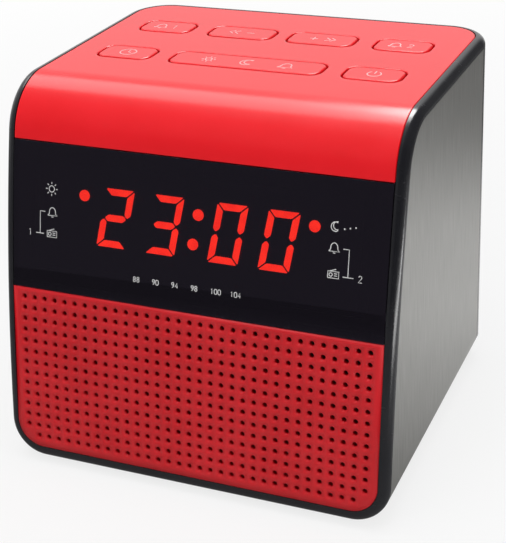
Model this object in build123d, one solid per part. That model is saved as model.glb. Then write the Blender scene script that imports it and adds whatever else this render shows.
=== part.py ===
"""Cube clock radio with a mains supply: the model, one STEP file for each sub-part.

Frame: X to the right, Y to the back, Z up. The origin is the middle of the underside of the
feet's box, so the radio stands on Z = 0 and its front faces -Y. All lengths are millimetres.
"""

import math
import os

from build123d import *

# ---- Body ---------------------------------------------------------------------------------
WIDTH = 108.0
DEPTH = 98.7
BODY_HEIGHT = 100.1
FOOT_HEIGHT = 1.5
FRONT_RADIUS = 555.0      # the front face is one large arc, seen from the side
FRONT_LEAN = 6.42         # degrees that the front leans back at its foot
CROWN_RADIUS = 16.0       # where the front turns over into the top
BOTTOM_CORNER = 10.0      # lower corners, seen from the front
REAR_CORNER = 12.0        # upright rear corners, seen from above
EDGE_RADIUS = 2.5         # roundover of the black band
BAND = 2.6                # black band left bare round the coloured panels
BOTTOM_BAND = 3.5         # the same band below the grille
REAR_COVER_DEPTH = 12.0

# ---- Walls and fits -----------------------------------------------------------------------
PANEL_T = 1.8             # grille, window and top cover
FRAME_T = 1.6             # front frame that the panels lie on
WALL = 2.6                # sides and floor of the case
REAR_WALL = 2.2
SIDE_COVER_T = 1.0
FIT_GAP = 0.15            # round every inlaid panel
SEAT_GAP = 0.02           # behind the grille, whose strips are flat and its seat is not
LEDGE = 5.0               # frame left round the window and the keys

# ---- Panels on the front ------------------------------------------------------------------
WINDOW_DROP = 13.8        # from the top down to the display window
WINDOW_HEIGHT = 38.0
HOLE_PITCH = 3.0
HOLE_DIAMETER = 1.4
PIT_DEPTH = 1.2           # of the blind holes round the ones before the speaker
LOWEST_HOLES = 6.8        # above the body's underside
HOLES_FROM_TOP = 2.3      # least margin to the grille's upper edge
HOLES_FROM_SIDE = 3.0     # least margin to the black band

# ---- Keys ---------------------------------------------------------------------------------
KEY_DEPTH = 9.4
KEY_WIDTH_OUTER = 15.2
KEY_FROM_SIDE = 11.5      # outer keys, from the side of the body
KEY_FROM_SPLIT = 6.85     # rear keys, from the parting line of the case
KEY_APART = 6.1           # between an outer key and the next
KEY_MIDDLE_APART = 5.0    # between the two middle keys
KEY_ROW_PITCH = 24.3
KEY_CORNER = 2.8
KEY_GAP = 0.3
KEY_PROUD = 0.4
KEY_TRAVEL = 0.5
KEY_WALL = 1.4
KEY_EDGE = 0.4
FLANGE_W = 0.9
FLANGE_T = 1.0
KEY_STOP_GAP = 0.1        # between the flange and the underside of the top cover
STEM_RADIUS = 2.2
KEY_BOSS_FROM_SIDE = 10.8 # outer bosses of the key board

# ---- Key switches -------------------------------------------------------------------------
SWITCH_SIZE = 6.0
SWITCH_HEIGHT = 3.5
PLUNGER_RADIUS = 1.75
PLUNGER_PROUD = 1.2
PLUNGER_SUNK = 1.4
PLUNGER_CLEAR = 0.1
PLUNGER_FOOT_GAP = 0.3    # left under the plunger when its key is down
KEY_BOARD_DROP = 9.0      # from the cover's underside to the face of the key board
BOARD_T = 1.6
BOARD_MARGIN = 2.0        # of the key board round its keys

# ---- Display ------------------------------------------------------------------------------
DIGIT_HEIGHT = 15.2
DIGIT_WIDTH = 8.2
DIGIT_SLANT = 9.0
SEGMENT_W = 1.8
SEGMENT_GAP = 0.25
SEGMENT_T = 0.2           # of the bars and lamps, which lie on the display's face
DIGIT_X = (-22.4, -8.6, 8.7, 22.3)
DIGITS_SHOWN = "2300"
DISPLAY_RISE = 1.3        # middle of the digits above the middle of the window
MODULE_GAP = 0.35
MODULE_FROM_SIDE = 10.0
MODULE_HEIGHT = 27.0
MODULE_DEEP = 7.0
DISPLAY_BOARD_GAP = 0.4   # to the side walls
LAMP_RADIUS = 1.45
LAMP_DROP = 2.7           # indicator lamps, from the top of the digits
LAMP_FROM_DIGIT = 9.0

# ---- Speaker ------------------------------------------------------------------------------
SPEAKER_RADIUS = 19.5
SPEAKER_OPENING = 17.0
SPEAKER_RIM = 2.0
SPEAKER_LIFT = 1.2        # of its seat behind the front frame
BASKET_T = 0.8
SPEAKER_DEEP = 9.0
MAGNET_RADIUS = 13.0
MAGNET_T = 6.0
MAGNET_PLATE_T = 1.5
CONE_T = 0.5
COIL_RADIUS = 6.5
DUST_CAP_RISE = 2.2

# ---- Fasteners ----------------------------------------------------------------------------
CASE_SCREW_R = 1.5
CASE_SCREW_HEAD_R = 2.8
CASE_SCREW_HEAD_T = 2.2
CASE_SCREW_HEAD_GAP = 0.2
CASE_SCREW_LENGTH = 12.4  # of its boss in the front half, clear of the battery bay
CASE_SCREW_TIP_GAP = 1.0
CASE_BOSS_R = 4.0
RIB_T = 2.0
CASE_SCREW_FROM_SIDE = 14.5
CASE_SCREW_LOW = 10.0     # from the underside to the lower pair
CASE_SCREW_HIGH = 20.0    # from the top to the upper pair
SCREW_HEAD_SUNK = 4.0
SMALL_SCREW_R = 1.1
SMALL_SCREW_HEAD_R = 2.1
SMALL_SCREW_HEAD_T = 1.2
SMALL_SCREW_DEEP = 6.0    # hole for a board's screw in its boss
SMALL_SCREW_LENGTH = 4.5  # of a screw below its board
SMALL_BOSS_R = 2.6

# ---- Inside the case ----------------------------------------------------------------------
CELL_RADIUS = 5.25
CELL_LENGTH = 44.5
CELL_TIP_R = 1.9
CELL_TIP_T = 0.8
CELL_CLEAR = 0.5
CELL_END = 2.0            # room at each end of the cells
BAY_WALL = 1.4
DOOR_T = 1.8
DOOR_LIP = 2.0
DOOR_GAP = 0.3
DOOR_FROM_CORNER = 0.45   # door's recess, from the rounded lower corner
DOOR_FROM_SPLIT = 12.05   # door's recess, from the parting line of the case
HINGE_WEB = 2.1           # floor left between the hinge line and the door opening
HINGE_RADIUS = 1.3
HINGE_PIN_R = 0.8
HINGE_PIN_OUT = 1.6
HINGE_PLAY = 0.08
HINGE_KNUCKLE = 8.0
HINGE_SETBACK = 2.8       # from the hinge line to the door's plate
GRIP_WIDTH = 14.0         # shallow recess that a finger opens the door by
GRIP_DEPTH = 5.0
GRIP_SUNK = 0.7
GRIP_FROM_EDGE = 2.0
BOARD_FROM_WALL = 6.4     # main board, from the side wall
BOARD_FROM_SPLIT = 4.35   # main board, from the parting line of the case
MAIN_BOARD_D = 48.0
MAIN_BOARD_LIFT = 4.0     # above the battery bay
BOARD_POST_IN = 4.0       # the board's posts, in from its corners
CORE_W = 30.0
CORE_D = 22.0
CORE_H = 32.0
CORE_LEG = 7.0
CORE_LIFT = 4.0           # ribs under the core, above the floor
CORE_GAP = 2.0            # to the main board
WINDING_OUT = 5.0         # winding beyond the core, front and rear
WINDING_GAP = 1.0         # to the case bosses
GLAND_FROM_SIDE = 24.0
GLAND_HEIGHT = 12.5       # above the body's underside
GLAND_BORE = 3.1
GLAND_BODY_R = 5.0
GLAND_NECK_R = 4.0
GLAND_FLANGE_T = 1.5
ANTENNA_HOLE_R = 1.2
VENT_LENGTH = 34.0
VENT_WIDTH = 1.8
VENT_PITCH = 4.0
VENT_COUNT = 7
VENT_DROP = 31.6          # from the top to the middle vent
FOOT_RADIUS = 4.5
FOOT_TAPER = 0.5          # how much smaller its lower face is
FOOT_FROM_SIDE = 16.0
FOOT_FROM_FRONT = 9.0

# ---- Fineness -------------------------------------------------------------------------------
SMALL_SIDES = 8           # of small round pieces that are out of sight inside the case
SHOWN_SIDES = 16          # of small round pieces that show or turn
LARGE_SIDES = 24          # of the speaker and the cells
CORNER_STEPS = 4          # flats in each rounded corner of a key

# ---- Worked out from the sizes above --------------------------------------------------------
BASE_Z = FOOT_HEIGHT
TOP_Z = BASE_Z + BODY_HEIGHT
LEAN = math.radians(FRONT_LEAN)
EDGE_TRIM = EDGE_RADIUS * (math.tan(LEAN) + 1 / math.cos(LEAN) - 1)  # the roundover's, in front
FRONT_Y = -(DEPTH + EDGE_TRIM) / 2
BACK_Y = FRONT_Y + DEPTH
SPLIT_Y = BACK_Y - REAR_COVER_DEPTH
ARC_Y = FRONT_Y + FRONT_RADIUS * math.cos(LEAN)
ARC_Z = BASE_Z - FRONT_RADIUS * math.sin(LEAN)
SHELL = PANEL_T + FRAME_T
COVER_UNDER = TOP_Z - PANEL_T
WINDOW_TOP = TOP_Z - WINDOW_DROP
GRILLE_TOP = WINDOW_TOP - WINDOW_HEIGHT
HOLE_ROWS = int((GRILLE_TOP - BASE_Z - LOWEST_HOLES - HOLES_FROM_TOP) / HOLE_PITCH) + 1
SIDE_COLUMNS = int((WIDTH / 2 - BAND - HOLES_FROM_SIDE) / HOLE_PITCH)
DISPLAY_Z = (GRILLE_TOP + WINDOW_TOP) / 2 + DISPLAY_RISE
FLOOR_Z = BASE_Z + WALL
HOLES_Z = BASE_Z + LOWEST_HOLES + (HOLE_ROWS - 1) * HOLE_PITCH / 2
SPEAKER_Z = max(HOLES_Z, FLOOR_Z + SPEAKER_RADIUS + SPEAKER_RIM)  # amid the holes, off the floor
KEY_BOARD_TOP = COVER_UNDER - KEY_BOARD_DROP
CASE_SCREW_X = WIDTH / 2 - CASE_SCREW_FROM_SIDE
GLAND_X = WIDTH / 2 - GLAND_FROM_SIDE
GLAND_Z = BASE_Z + GLAND_HEIGHT
BAY_HALF_X = CELL_LENGTH / 2 + CELL_END
BAY_HALF_Y = 2 * CELL_RADIUS + CELL_CLEAR
BAY_X = BOTTOM_CORNER - WIDTH / 2 + DOOR_FROM_CORNER + DOOR_GAP + DOOR_LIP + BAY_HALF_X
BAY_Y = SPLIT_Y - DOOR_FROM_SPLIT - DOOR_GAP - DOOR_LIP - BAY_HALF_Y
BAY_TOP = BASE_Z + DOOR_T + 2 * CELL_RADIUS + 2 * CELL_CLEAR + BAY_WALL
HINGE_Y = BAY_Y - BAY_HALF_Y - HINGE_WEB
HINGE_Z = BASE_Z + HINGE_RADIUS
CORE_X = (BAY_X + BAY_HALF_X + BAY_WALL + WIDTH / 2 - WALL) / 2
CORE_Y = SPLIT_Y - CASE_SCREW_LENGTH - WINDING_GAP - WINDING_OUT - CORE_D / 2
CORE_FOOT = FLOOR_Z + CORE_LIFT
BOARD_LEFT = BOARD_FROM_WALL + WALL - WIDTH / 2
MAIN_BOARD_W = CORE_X - CORE_W / 2 - CORE_GAP - BOARD_LEFT
MAIN_BOARD_X = BOARD_LEFT + MAIN_BOARD_W / 2
MAIN_BOARD_Y = SPLIT_Y - BOARD_FROM_SPLIT - MAIN_BOARD_D / 2
MAIN_BOARD_Z = BAY_TOP + MAIN_BOARD_LIFT
BEYOND = 30.0             # how far cutting tools reach past what they cut

KEY_X_OUTER = WIDTH / 2 - KEY_FROM_SIDE - KEY_WIDTH_OUTER / 2
KEY_WIDTH_SNOOZE = 2 * (KEY_X_OUTER - KEY_WIDTH_OUTER / 2 - KEY_APART)
KEY_WIDTH_MIDDLE = (KEY_WIDTH_SNOOZE - KEY_MIDDLE_APART) / 2
KEY_X_MIDDLE = (KEY_WIDTH_MIDDLE + KEY_MIDDLE_APART) / 2
KEY_REAR_Y = SPLIT_Y - KEY_FROM_SPLIT - KEY_DEPTH / 2
KEY_FRONT_Y = KEY_REAR_Y - KEY_ROW_PITCH
KEYS = {
    "key_alarm_1": (-KEY_X_OUTER, KEY_REAR_Y, KEY_WIDTH_OUTER),
    "key_tune_down": (-KEY_X_MIDDLE, KEY_REAR_Y, KEY_WIDTH_MIDDLE),
    "key_tune_up": (KEY_X_MIDDLE, KEY_REAR_Y, KEY_WIDTH_MIDDLE),
    "key_alarm_2": (KEY_X_OUTER, KEY_REAR_Y, KEY_WIDTH_OUTER),
    "key_clock_set": (-KEY_X_OUTER, KEY_FRONT_Y, KEY_WIDTH_OUTER),
    "key_snooze": (0.0, KEY_FRONT_Y, KEY_WIDTH_SNOOZE),
    "key_power": (KEY_X_OUTER, KEY_FRONT_Y, KEY_WIDTH_OUTER),
}


# ---- The body's form ------------------------------------------------------------------------
def front_y(z, inset=0.0):
    """Where the front face is at height z, with the face moved in by inset."""
    radius = FRONT_RADIUS - inset
    return ARC_Y - math.sqrt(radius**2 - (z - ARC_Z) ** 2)


def front_plane(z, inset=0.0):
    """A plane on the front face at height z: X right, Y up the face, Z out of it."""
    lean = math.asin((z - ARC_Z) / FRONT_RADIUS)
    touch = Vector(0, front_y(z), z)
    outward = Vector(0, -math.cos(lean), math.sin(lean))
    return Plane(origin=touch - outward * inset, x_dir=(1, 0, 0), z_dir=outward)


def side_form(inset):
    """The body's side outline through its whole width, open past the floor and the back."""
    low = BASE_Z - BEYOND
    high = TOP_Z - inset
    middle = (low + high) / 2
    rear = BACK_Y + BEYOND
    with BuildSketch(Plane.YZ) as outline:
        with BuildLine():
            ThreePointArc(
                (front_y(low, inset), low),
                (front_y(middle, inset), middle),
                (front_y(high, inset), high),
            )
            Polyline(
                (front_y(high, inset), high),
                (rear, high),
                (rear, low),
                (front_y(low, inset), low),
            )
        make_face()
        crown = outline.vertices().sort_by(Axis.Y)[-2:].sort_by(Axis.X)[0]
        fillet(crown, CROWN_RADIUS - inset)
    return extrude(outline.sketch, WIDTH / 2 + BEYOND, both=True)


def front_form(inset, lift=0.0):
    """The body's front outline: upright sides and rounded lower corners, its foot lifted."""
    half = WIDTH / 2 - inset
    low = BASE_Z + inset + lift
    high = TOP_Z + BEYOND
    with BuildSketch(Plane.XZ) as outline:
        with Locations((0, (low + high) / 2)):
            Rectangle(2 * half, high - low)
        fillet(outline.vertices().sort_by(Axis.Y)[:2], BOTTOM_CORNER - inset)
    return extrude(outline.sketch, DEPTH / 2 + BEYOND, both=True)


def plan_form(inset):
    """The body's outline from above: straight sides and rounded rear corners."""
    half = WIDTH / 2 - inset
    low = FRONT_Y - BEYOND
    high = BACK_Y - inset
    with BuildSketch(Plane.XY) as outline:
        with Locations((0, (low + high) / 2)):
            Rectangle(2 * half, high - low)
        fillet(outline.vertices().sort_by(Axis.Y)[-2:], REAR_CORNER - inset)
    return extrude(outline.sketch, TOP_Z + BEYOND, both=True)


def block(low, high):
    """A plain box between two corners."""
    size = [b - a for a, b in zip(low, high)]
    return Pos(*low) * Box(*size, align=Align.MIN)


def outer_form():
    """The whole body, with the roundover along the edge of its front and top."""
    form = side_form(0) & front_form(0) & plan_form(0)
    skin = side_form(0).faces().filter_by(lambda f: abs(f.normal_at().X) < 0.5)
    skin = [f for f in skin if f.center().Y < BACK_Y and f.center().Z > BASE_Z - BEYOND + 1]
    rim = [e for e in form.edges() if sum(on_skin(v, skin) for v in samples(e)) == 3]
    rim = [e for e in rim if not crosses_body(e)]
    return fillet(rim, EDGE_RADIUS)


def samples(edge):
    """Three points along an edge."""
    return [edge.position_at(share) for share in (0.1, 0.5, 0.9)]


def on_skin(point, faces):
    """Whether a point lies on one of these faces."""
    return any(Vertex(point).distance_to(face) < 0.01 for face in faces)


def crosses_body(edge):
    """Whether an edge runs across the front or top, where two of its faces join smoothly."""
    return abs(edge.tangent_at(0.5).X) > 0.99 and FRONT_Y + 5 < edge.center().Y < BACK_Y - 5


def panel_form(inset):
    """The skin over front and top that the coloured panels are cut from."""
    return (side_form(0) - side_form(PANEL_T)) & panel_outline(inset)


def panel_outline(inset):
    """What the black band leaves free for the panels, seen from the front and from above."""
    return front_form(BAND + inset, BOTTOM_BAND - BAND) & plan_form(BAND + inset)


def cavity(front, rear):
    """The hollow inside the body."""
    return side_form(front) & front_form(WALL) & plan_form(rear)


def between(low, high):
    """A slab over the whole body between two heights."""
    reach = WIDTH + DEPTH
    return block((-reach, -reach, low), (reach, reach, high))


def behind(y):
    """Everything behind this Y."""
    reach = WIDTH + DEPTH
    return block((-reach, y, -reach), (reach, y + reach, reach))


# ---- Case -----------------------------------------------------------------------------------
def side_cover_form(inset):
    """The grey skin of one side, which also wraps the lower corner."""
    skin = front_form(0) - front_form(SIDE_COVER_T)
    skin &= side_form(BAND + inset)
    corner_x = WIDTH / 2 - BOTTOM_CORNER + inset
    keep = block((corner_x, FRONT_Y, BASE_Z), (WIDTH, SPLIT_Y - inset, TOP_Z))
    return skin & keep


def screw_spots():
    """The four case screws, seen from behind."""
    for z in (BASE_Z + CASE_SCREW_LOW, TOP_Z - CASE_SCREW_HIGH):
        for side in (-1, 1):
            yield side * CASE_SCREW_X, z


def case_boss(x, z, y_low, y_high):
    """A screw boss that runs front to back, with a rib to the side wall."""
    wall_x = math.copysign(WIDTH / 2 - WALL / 2, x)
    low = (min(x, wall_x), y_low, z - RIB_T / 2)
    rib = block(low, (max(x, wall_x), y_high, z + RIB_T / 2))
    return along_y(x, y_low, y_high, z, CASE_BOSS_R) + rib


def rod(radius, length, sides=SMALL_SIDES):
    """A round bar up from the origin, made many-sided where it is out of sight."""
    return extrude(RegularPolygon(radius, sides), length)


def drum(radius, length):
    """A round bar up from the origin with more sides, for what shows or turns."""
    return rod(radius, length, SHOWN_SIDES)


def bore(radius, length):
    """A truly round bar up from the origin, to cut a bore with."""
    return Cylinder(radius, length, align=(Align.CENTER, Align.CENTER, Align.MIN))


def flat_cone(start, end, sides):
    """A flat-sided drum or cone between two ends, each given as its radius and height."""
    turns = [2 * math.pi * step / sides for step in range(sides)]
    rings = []
    for radius, height in (start, end):
        rings.append([(radius * math.cos(t), radius * math.sin(t), height) for t in turns])
    first, last = rings
    faces = [Face(Wire.make_polygon(ring)) for ring in rings]
    for i in range(sides):
        faces.append(Face(Wire.make_polygon([first[i - 1], first[i], last[i], last[i - 1]])))
    return Solid(Shell(faces)).fix()


def along_y(x, y_low, y_high, z, radius, bar=rod):
    """A bar that runs front to back."""
    return Plane(origin=(x, y_low, z), z_dir=(0, 1, 0)) * bar(radius, y_high - y_low)


def upright(x, y, low, high, radius, bar=rod):
    """A bar that stands upright."""
    return Pos(x, y, low) * bar(radius, high - low)


def display_posts(radius, front, rear):
    """Bars square to the display at the corners of its board."""
    plane = front_plane(DISPLAY_Z)
    x = WIDTH / 2 - WALL - SMALL_BOSS_R + FIT_GAP
    for side in (-1, 1):
        for y in (-MODULE_HEIGHT / 2, MODULE_HEIGHT / 2):
            yield plane * Pos(side * x, y, -rear) * rod(radius, rear - front)


def main_board_spots():
    """The four corners where the main board is screwed down."""
    x = MAIN_BOARD_W / 2 - BOARD_POST_IN
    y = MAIN_BOARD_D / 2 - BOARD_POST_IN
    for dx in (-x, x):
        for dy in (-y, y):
            yield MAIN_BOARD_X + dx, MAIN_BOARD_Y + dy


def foot_spots():
    """The four rubber feet; the rear pair stands behind the battery door."""
    for side in (-1, 1):
        for y in (FRONT_Y + FOOT_FROM_FRONT, SPLIT_Y - DOOR_FROM_SPLIT / 2):
            yield side * (WIDTH / 2 - FOOT_FROM_SIDE), y


def knuckle_spots():
    """Where along the battery door its two knuckles are."""
    for side in (-1, 1):
        yield BAY_X + side * (BAY_HALF_X - HINGE_KNUCKLE)


def cabinet():
    """Black front half of the case: band, front frame, sides, floor and bosses."""
    shell = outer_form() - behind(SPLIT_Y)
    shell -= cavity(SHELL, -BEYOND / 2)
    speaker = front_plane(SPEAKER_Z, speaker_seat())
    seat = speaker * rod(SPEAKER_RADIUS + SPEAKER_RIM, speaker_seat() - PANEL_T, LARGE_SIDES)
    shell += seat & cavity(PANEL_T, 0)
    for post in display_posts(SMALL_BOSS_R, PANEL_T, module_rear()):
        shell += post & cavity(PANEL_T, 0)
    shell -= panel_form(0)
    shell -= speaker * Pos(0, 0, -1) * rod(SPEAKER_OPENING, 2 * speaker_seat(), LARGE_SIDES)
    shell -= window_opening()
    shell -= key_opening()
    for hole in display_posts(SMALL_SCREW_R, SHELL + 1, module_rear()):
        shell -= hole
    for x, y in main_board_spots():
        shell += upright(x, y, FLOOR_Z, MAIN_BOARD_Z, SMALL_BOSS_R)
    for y in (CORE_Y - CORE_D / 2, CORE_Y + CORE_D / 2 - RIB_T):
        low = (CORE_X - CORE_W / 2, y, BASE_Z)
        rib = block(low, (CORE_X + CORE_W / 2, y + RIB_T, CORE_FOOT))
        shell += rib & front_form(WALL / 2)
    shell = add_battery_bay(shell)
    for x, y in main_board_spots():
        shell -= upright(x, y, MAIN_BOARD_Z - SMALL_SCREW_DEEP, MAIN_BOARD_Z, SMALL_SCREW_R)
    start = SPLIT_Y - CASE_SCREW_LENGTH
    for x, z in screw_spots():
        shell += case_boss(x, z, start, SPLIT_Y)
    for x, z in screw_spots():
        shell -= along_y(x, start + RIB_T, SPLIT_Y, z, CASE_SCREW_R)
    shell -= side_cover_form(0)
    shell -= mirror(side_cover_form(0), Plane.YZ)
    return shell


def window_opening():
    """The opening in the front frame behind the display window."""
    half = WIDTH / 2 - BAND - LEDGE
    return block(
        (-half, FRONT_Y - BEYOND, GRILLE_TOP + LEDGE),
        (half, front_y(WINDOW_TOP) + SHELL + 4, WINDOW_TOP - LEDGE),
    )


def key_opening():
    """The opening in the frame under the keys."""
    half = WIDTH / 2 - BAND - LEDGE
    front = KEY_FRONT_Y - KEY_DEPTH / 2 - LEDGE
    rear = SPLIT_Y - LEDGE / 2
    return block((-half, front, TOP_Z - SHELL - 2), (half, rear, TOP_Z + BEYOND))


def add_battery_bay(shell):
    """Walls of the battery bay, its door opening and the seats of the door's hinge."""
    low = (BAY_X - BAY_HALF_X, BAY_Y - BAY_HALF_Y)
    high = (BAY_X + BAY_HALF_X, BAY_Y + BAY_HALF_Y)
    shell += block(
        (low[0] - BAY_WALL, low[1] - BAY_WALL, FLOOR_Z),
        (high[0] + BAY_WALL, high[1] + BAY_WALL, BAY_TOP),
    )
    shell -= block((*low, BASE_Z - 1), (*high, BAY_TOP - BAY_WALL))
    shell -= door_plate(DOOR_GAP)
    slot_r = HINGE_RADIUS + DOOR_GAP
    for x in knuckle_spots():
        reach = HINGE_KNUCKLE / 2 + DOOR_GAP
        shell -= block(
            (x - reach, HINGE_Y - slot_r, BASE_Z - 1),
            (x + reach, HINGE_Y + HINGE_WEB, HINGE_Z + slot_r),
        )
        shell -= across_x(x, HINGE_KNUCKLE + 2 * HINGE_PIN_OUT + DOOR_GAP, HINGE_PIN_R + HINGE_PLAY)
    return shell


def across_x(x, length, radius):
    """A round bar along the door's hinge line."""
    start = Plane(origin=(x - length / 2, HINGE_Y, HINGE_Z), z_dir=(1, 0, 0))
    return start * drum(radius, length)


def rear_cover():
    """Black rear half of the case with its vents, screw posts and cord outlet."""
    shell = outer_form() & behind(SPLIT_Y)
    shell -= cavity(SHELL, REAR_WALL)
    shell -= panel_form(0)
    for x, z in screw_spots():
        shell += case_boss(x, z, SPLIT_Y, BACK_Y - 1) & plan_form(1.0)
        shell -= along_y(x, SPLIT_Y, BACK_Y + 1, z, CASE_SCREW_R)
        seat = BACK_Y - SCREW_HEAD_SUNK
        shell -= along_y(x, seat, BACK_Y + 1, z, CASE_SCREW_HEAD_R + CASE_SCREW_HEAD_GAP, drum)
    for row in range(VENT_COUNT):
        z = TOP_Z - VENT_DROP + (row - (VENT_COUNT - 1) / 2) * VENT_PITCH
        half = VENT_LENGTH / 2
        low = (-half, BACK_Y - 2 * REAR_WALL, z - VENT_WIDTH / 2)
        shell -= block(low, (half, BACK_Y + 1, z + VENT_WIDTH / 2))
    inside = BACK_Y - 2 * REAR_WALL
    shell -= along_y(GLAND_X, inside, BACK_Y + 1, GLAND_Z, GLAND_NECK_R, drum)
    shell -= along_y(-GLAND_X, inside, BACK_Y + 1, GLAND_Z, ANTENNA_HOLE_R, drum)
    return shell


def top_cover():
    """Red cover over the top and the upper front, with the keys' openings and bosses."""
    cover = panel_form(FIT_GAP) & between(WINDOW_TOP + FIT_GAP / 2, TOP_Z + BEYOND)
    for x, y, width in KEYS.values():
        cover -= key_prism(x, y, width, KEY_GAP, COVER_UNDER - 1, TOP_Z + 1)
    for x, y in boss_spots():
        cover += upright(x, y, KEY_BOARD_TOP, COVER_UNDER + 0.2, SMALL_BOSS_R)
        cover -= upright(x, y, KEY_BOARD_TOP, KEY_BOARD_TOP + SMALL_SCREW_DEEP, SMALL_SCREW_R)
    return cover


def boss_spots():
    """The four bosses that carry the key board, between the two rows of keys."""
    y = (KEY_REAR_Y + KEY_FRONT_Y) / 2
    for x in (WIDTH / 2 - KEY_BOSS_FROM_SIDE, KEY_X_MIDDLE + SMALL_BOSS_R):
        yield -x, y
        yield x, y


def display_window():
    """Smoked lens over the display."""
    return panel_form(FIT_GAP) & between(GRILLE_TOP + FIT_GAP / 2, WINDOW_TOP - FIT_GAP / 2)


def hole_spots():
    """Where every hole is; the lowest row stops short of the rounded corners."""
    for row in range(HOLE_ROWS):
        columns = SIDE_COLUMNS - 1 if row == 0 else SIDE_COLUMNS
        for column in range(-columns, columns + 1):
            yield column * HOLE_PITCH, BASE_Z + LOWEST_HOLES + row * HOLE_PITCH


def before_speaker(x, z):
    """Whether a hole lies over the speaker's opening."""
    return math.hypot(x, z - SPEAKER_Z) < SPEAKER_OPENING - HOLE_DIAMETER


def grille_strips():
    """The grille's plate: flat strips along the curve, each for two rows of holes."""
    joints = range(0, HOLE_ROWS, 2)
    heights = [BASE_Z + LOWEST_HOLES + (row - 0.5) * HOLE_PITCH for row in joints]
    heights = [BASE_Z, *heights, GRILLE_TOP - FIT_GAP / 2]
    outside = [(front_y(z), z) for z in heights]
    inside = [(front_y(z, PANEL_T - SEAT_GAP), z) for z in reversed(heights)]
    return extrude(Plane.YZ * Polygon(*outside, *inside, align=None), WIDTH / 2, both=True)


def speaker_grille():
    """Red perforated panel: holes before the speaker, and pits like them over the rest.

    Each hole has four sides, and each pit is a small pyramid, to keep the panel light.
    """
    panel = grille_strips() & panel_outline(FIT_GAP)
    mouth = RegularPolygon(HOLE_DIAMETER / 2 * 1.15, 4)
    pit = loft([Pos(0, 0, FIT_GAP) * mouth, Vertex(0, 0, -PIT_DEPTH)])
    hole = Pos(0, 0, -2 * PANEL_T) * extrude(mouth, 3 * PANEL_T)
    cuts = []
    for x, z in hole_spots():
        cut = hole if before_speaker(x, z) else pit
        cuts.append(front_plane(z) * Pos(x, 0) * cut)
    return panel - cuts


# ---- Keys -----------------------------------------------------------------------------------
def key_prism(x, y, width, grow, low, high):
    """An upright prism with a key's outline, grown all round; flats round its corners."""
    along = width / 2 - KEY_CORNER
    aside = KEY_DEPTH / 2 - KEY_CORNER
    radius = KEY_CORNER + grow
    corners = []
    for quarter, (dx, dy) in enumerate(((1, 1), (-1, 1), (-1, -1), (1, -1))):
        for step in range(CORNER_STEPS + 1):
            turn = math.pi / 2 * (quarter + step / CORNER_STEPS)
            end_x = dx * along + radius * math.cos(turn)
            corners.append((end_x, dy * aside + radius * math.sin(turn)))
    return extrude(Pos(x, y, low) * Polygon(*corners, align=None), high - low)


def key(x, y, width):
    """A hollow key cap with a flange that stops it under the cover, and a stem."""
    high = TOP_Z + KEY_PROUD
    flange_top = COVER_UNDER - KEY_STOP_GAP
    low = flange_top - FLANGE_T
    cap = key_prism(x, y, width, 0, low, high)
    cap = chamfer(cap.faces().sort_by(Axis.Z)[-1].edges(), KEY_EDGE)
    cap += key_block(x, y, width, FLANGE_W, low, flange_top)
    cap -= key_block(x, y, width, -KEY_WALL, low - 1, high - KEY_WALL)
    stem_foot = KEY_BOARD_TOP + SWITCH_HEIGHT + PLUNGER_PROUD
    return cap + upright(x, y, stem_foot, high - KEY_WALL, STEM_RADIUS)


def key_block(x, y, width, grow, low, high):
    """A square-cornered block on a key's outline, grown all round."""
    half_x = width / 2 + grow
    half_y = KEY_DEPTH / 2 + grow
    return block((x - half_x, y - half_y, low), (x + half_x, y + half_y, high))


def plunger(x, y):
    """The switch plunger that a key's stem bears on."""
    low = KEY_BOARD_TOP + SWITCH_HEIGHT - PLUNGER_SUNK
    return upright(x, y, low, KEY_BOARD_TOP + SWITCH_HEIGHT + PLUNGER_PROUD, PLUNGER_RADIUS)


def tact_switches():
    """One push switch under each key."""
    switches = []
    for x, y, _ in KEYS.values():
        half = SWITCH_SIZE / 2
        top = KEY_BOARD_TOP + SWITCH_HEIGHT
        body = block((x - half, y - half, KEY_BOARD_TOP), (x + half, y + half, top))
        depth = PLUNGER_SUNK + KEY_TRAVEL + PLUNGER_FOOT_GAP
        switches.append(body - upright(x, y, top - depth, top, PLUNGER_RADIUS + PLUNGER_CLEAR))
    return Compound(switches)


def key_board():
    """Circuit board under the keys, screwed to the top cover's bosses."""
    half = WIDTH / 2 - KEY_BOSS_FROM_SIDE + SMALL_BOSS_R
    front = KEY_FRONT_Y - KEY_DEPTH / 2 - BOARD_MARGIN
    rear = KEY_REAR_Y + KEY_DEPTH / 2 + BOARD_MARGIN
    board = block((-half, front, KEY_BOARD_TOP - BOARD_T), (half, rear, KEY_BOARD_TOP))
    for x, y in boss_spots():
        board -= upright(x, y, KEY_BOARD_TOP - BOARD_T, KEY_BOARD_TOP, SMALL_SCREW_R)
    return board


# ---- Display --------------------------------------------------------------------------------
def module_front():
    """Depth of the display's face behind the front of the case."""
    return PANEL_T + MODULE_GAP


def module_rear():
    """Depth of the display's rear face, where its board lies."""
    return module_front() + MODULE_DEEP


def bar_corners(x, y, length, stands):
    """The six corners of one pointed bar of a digit, lying along X or standing."""
    half = length / 2 - SEGMENT_GAP
    tip = SEGMENT_W / 2
    flat = half - tip
    corners = ((-half, 0), (-flat, tip), (flat, tip), (half, 0), (flat, -tip), (-flat, -tip))
    for along, aside in corners:
        yield (x + aside, y + along) if stands else (x + along, y + aside)


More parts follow.
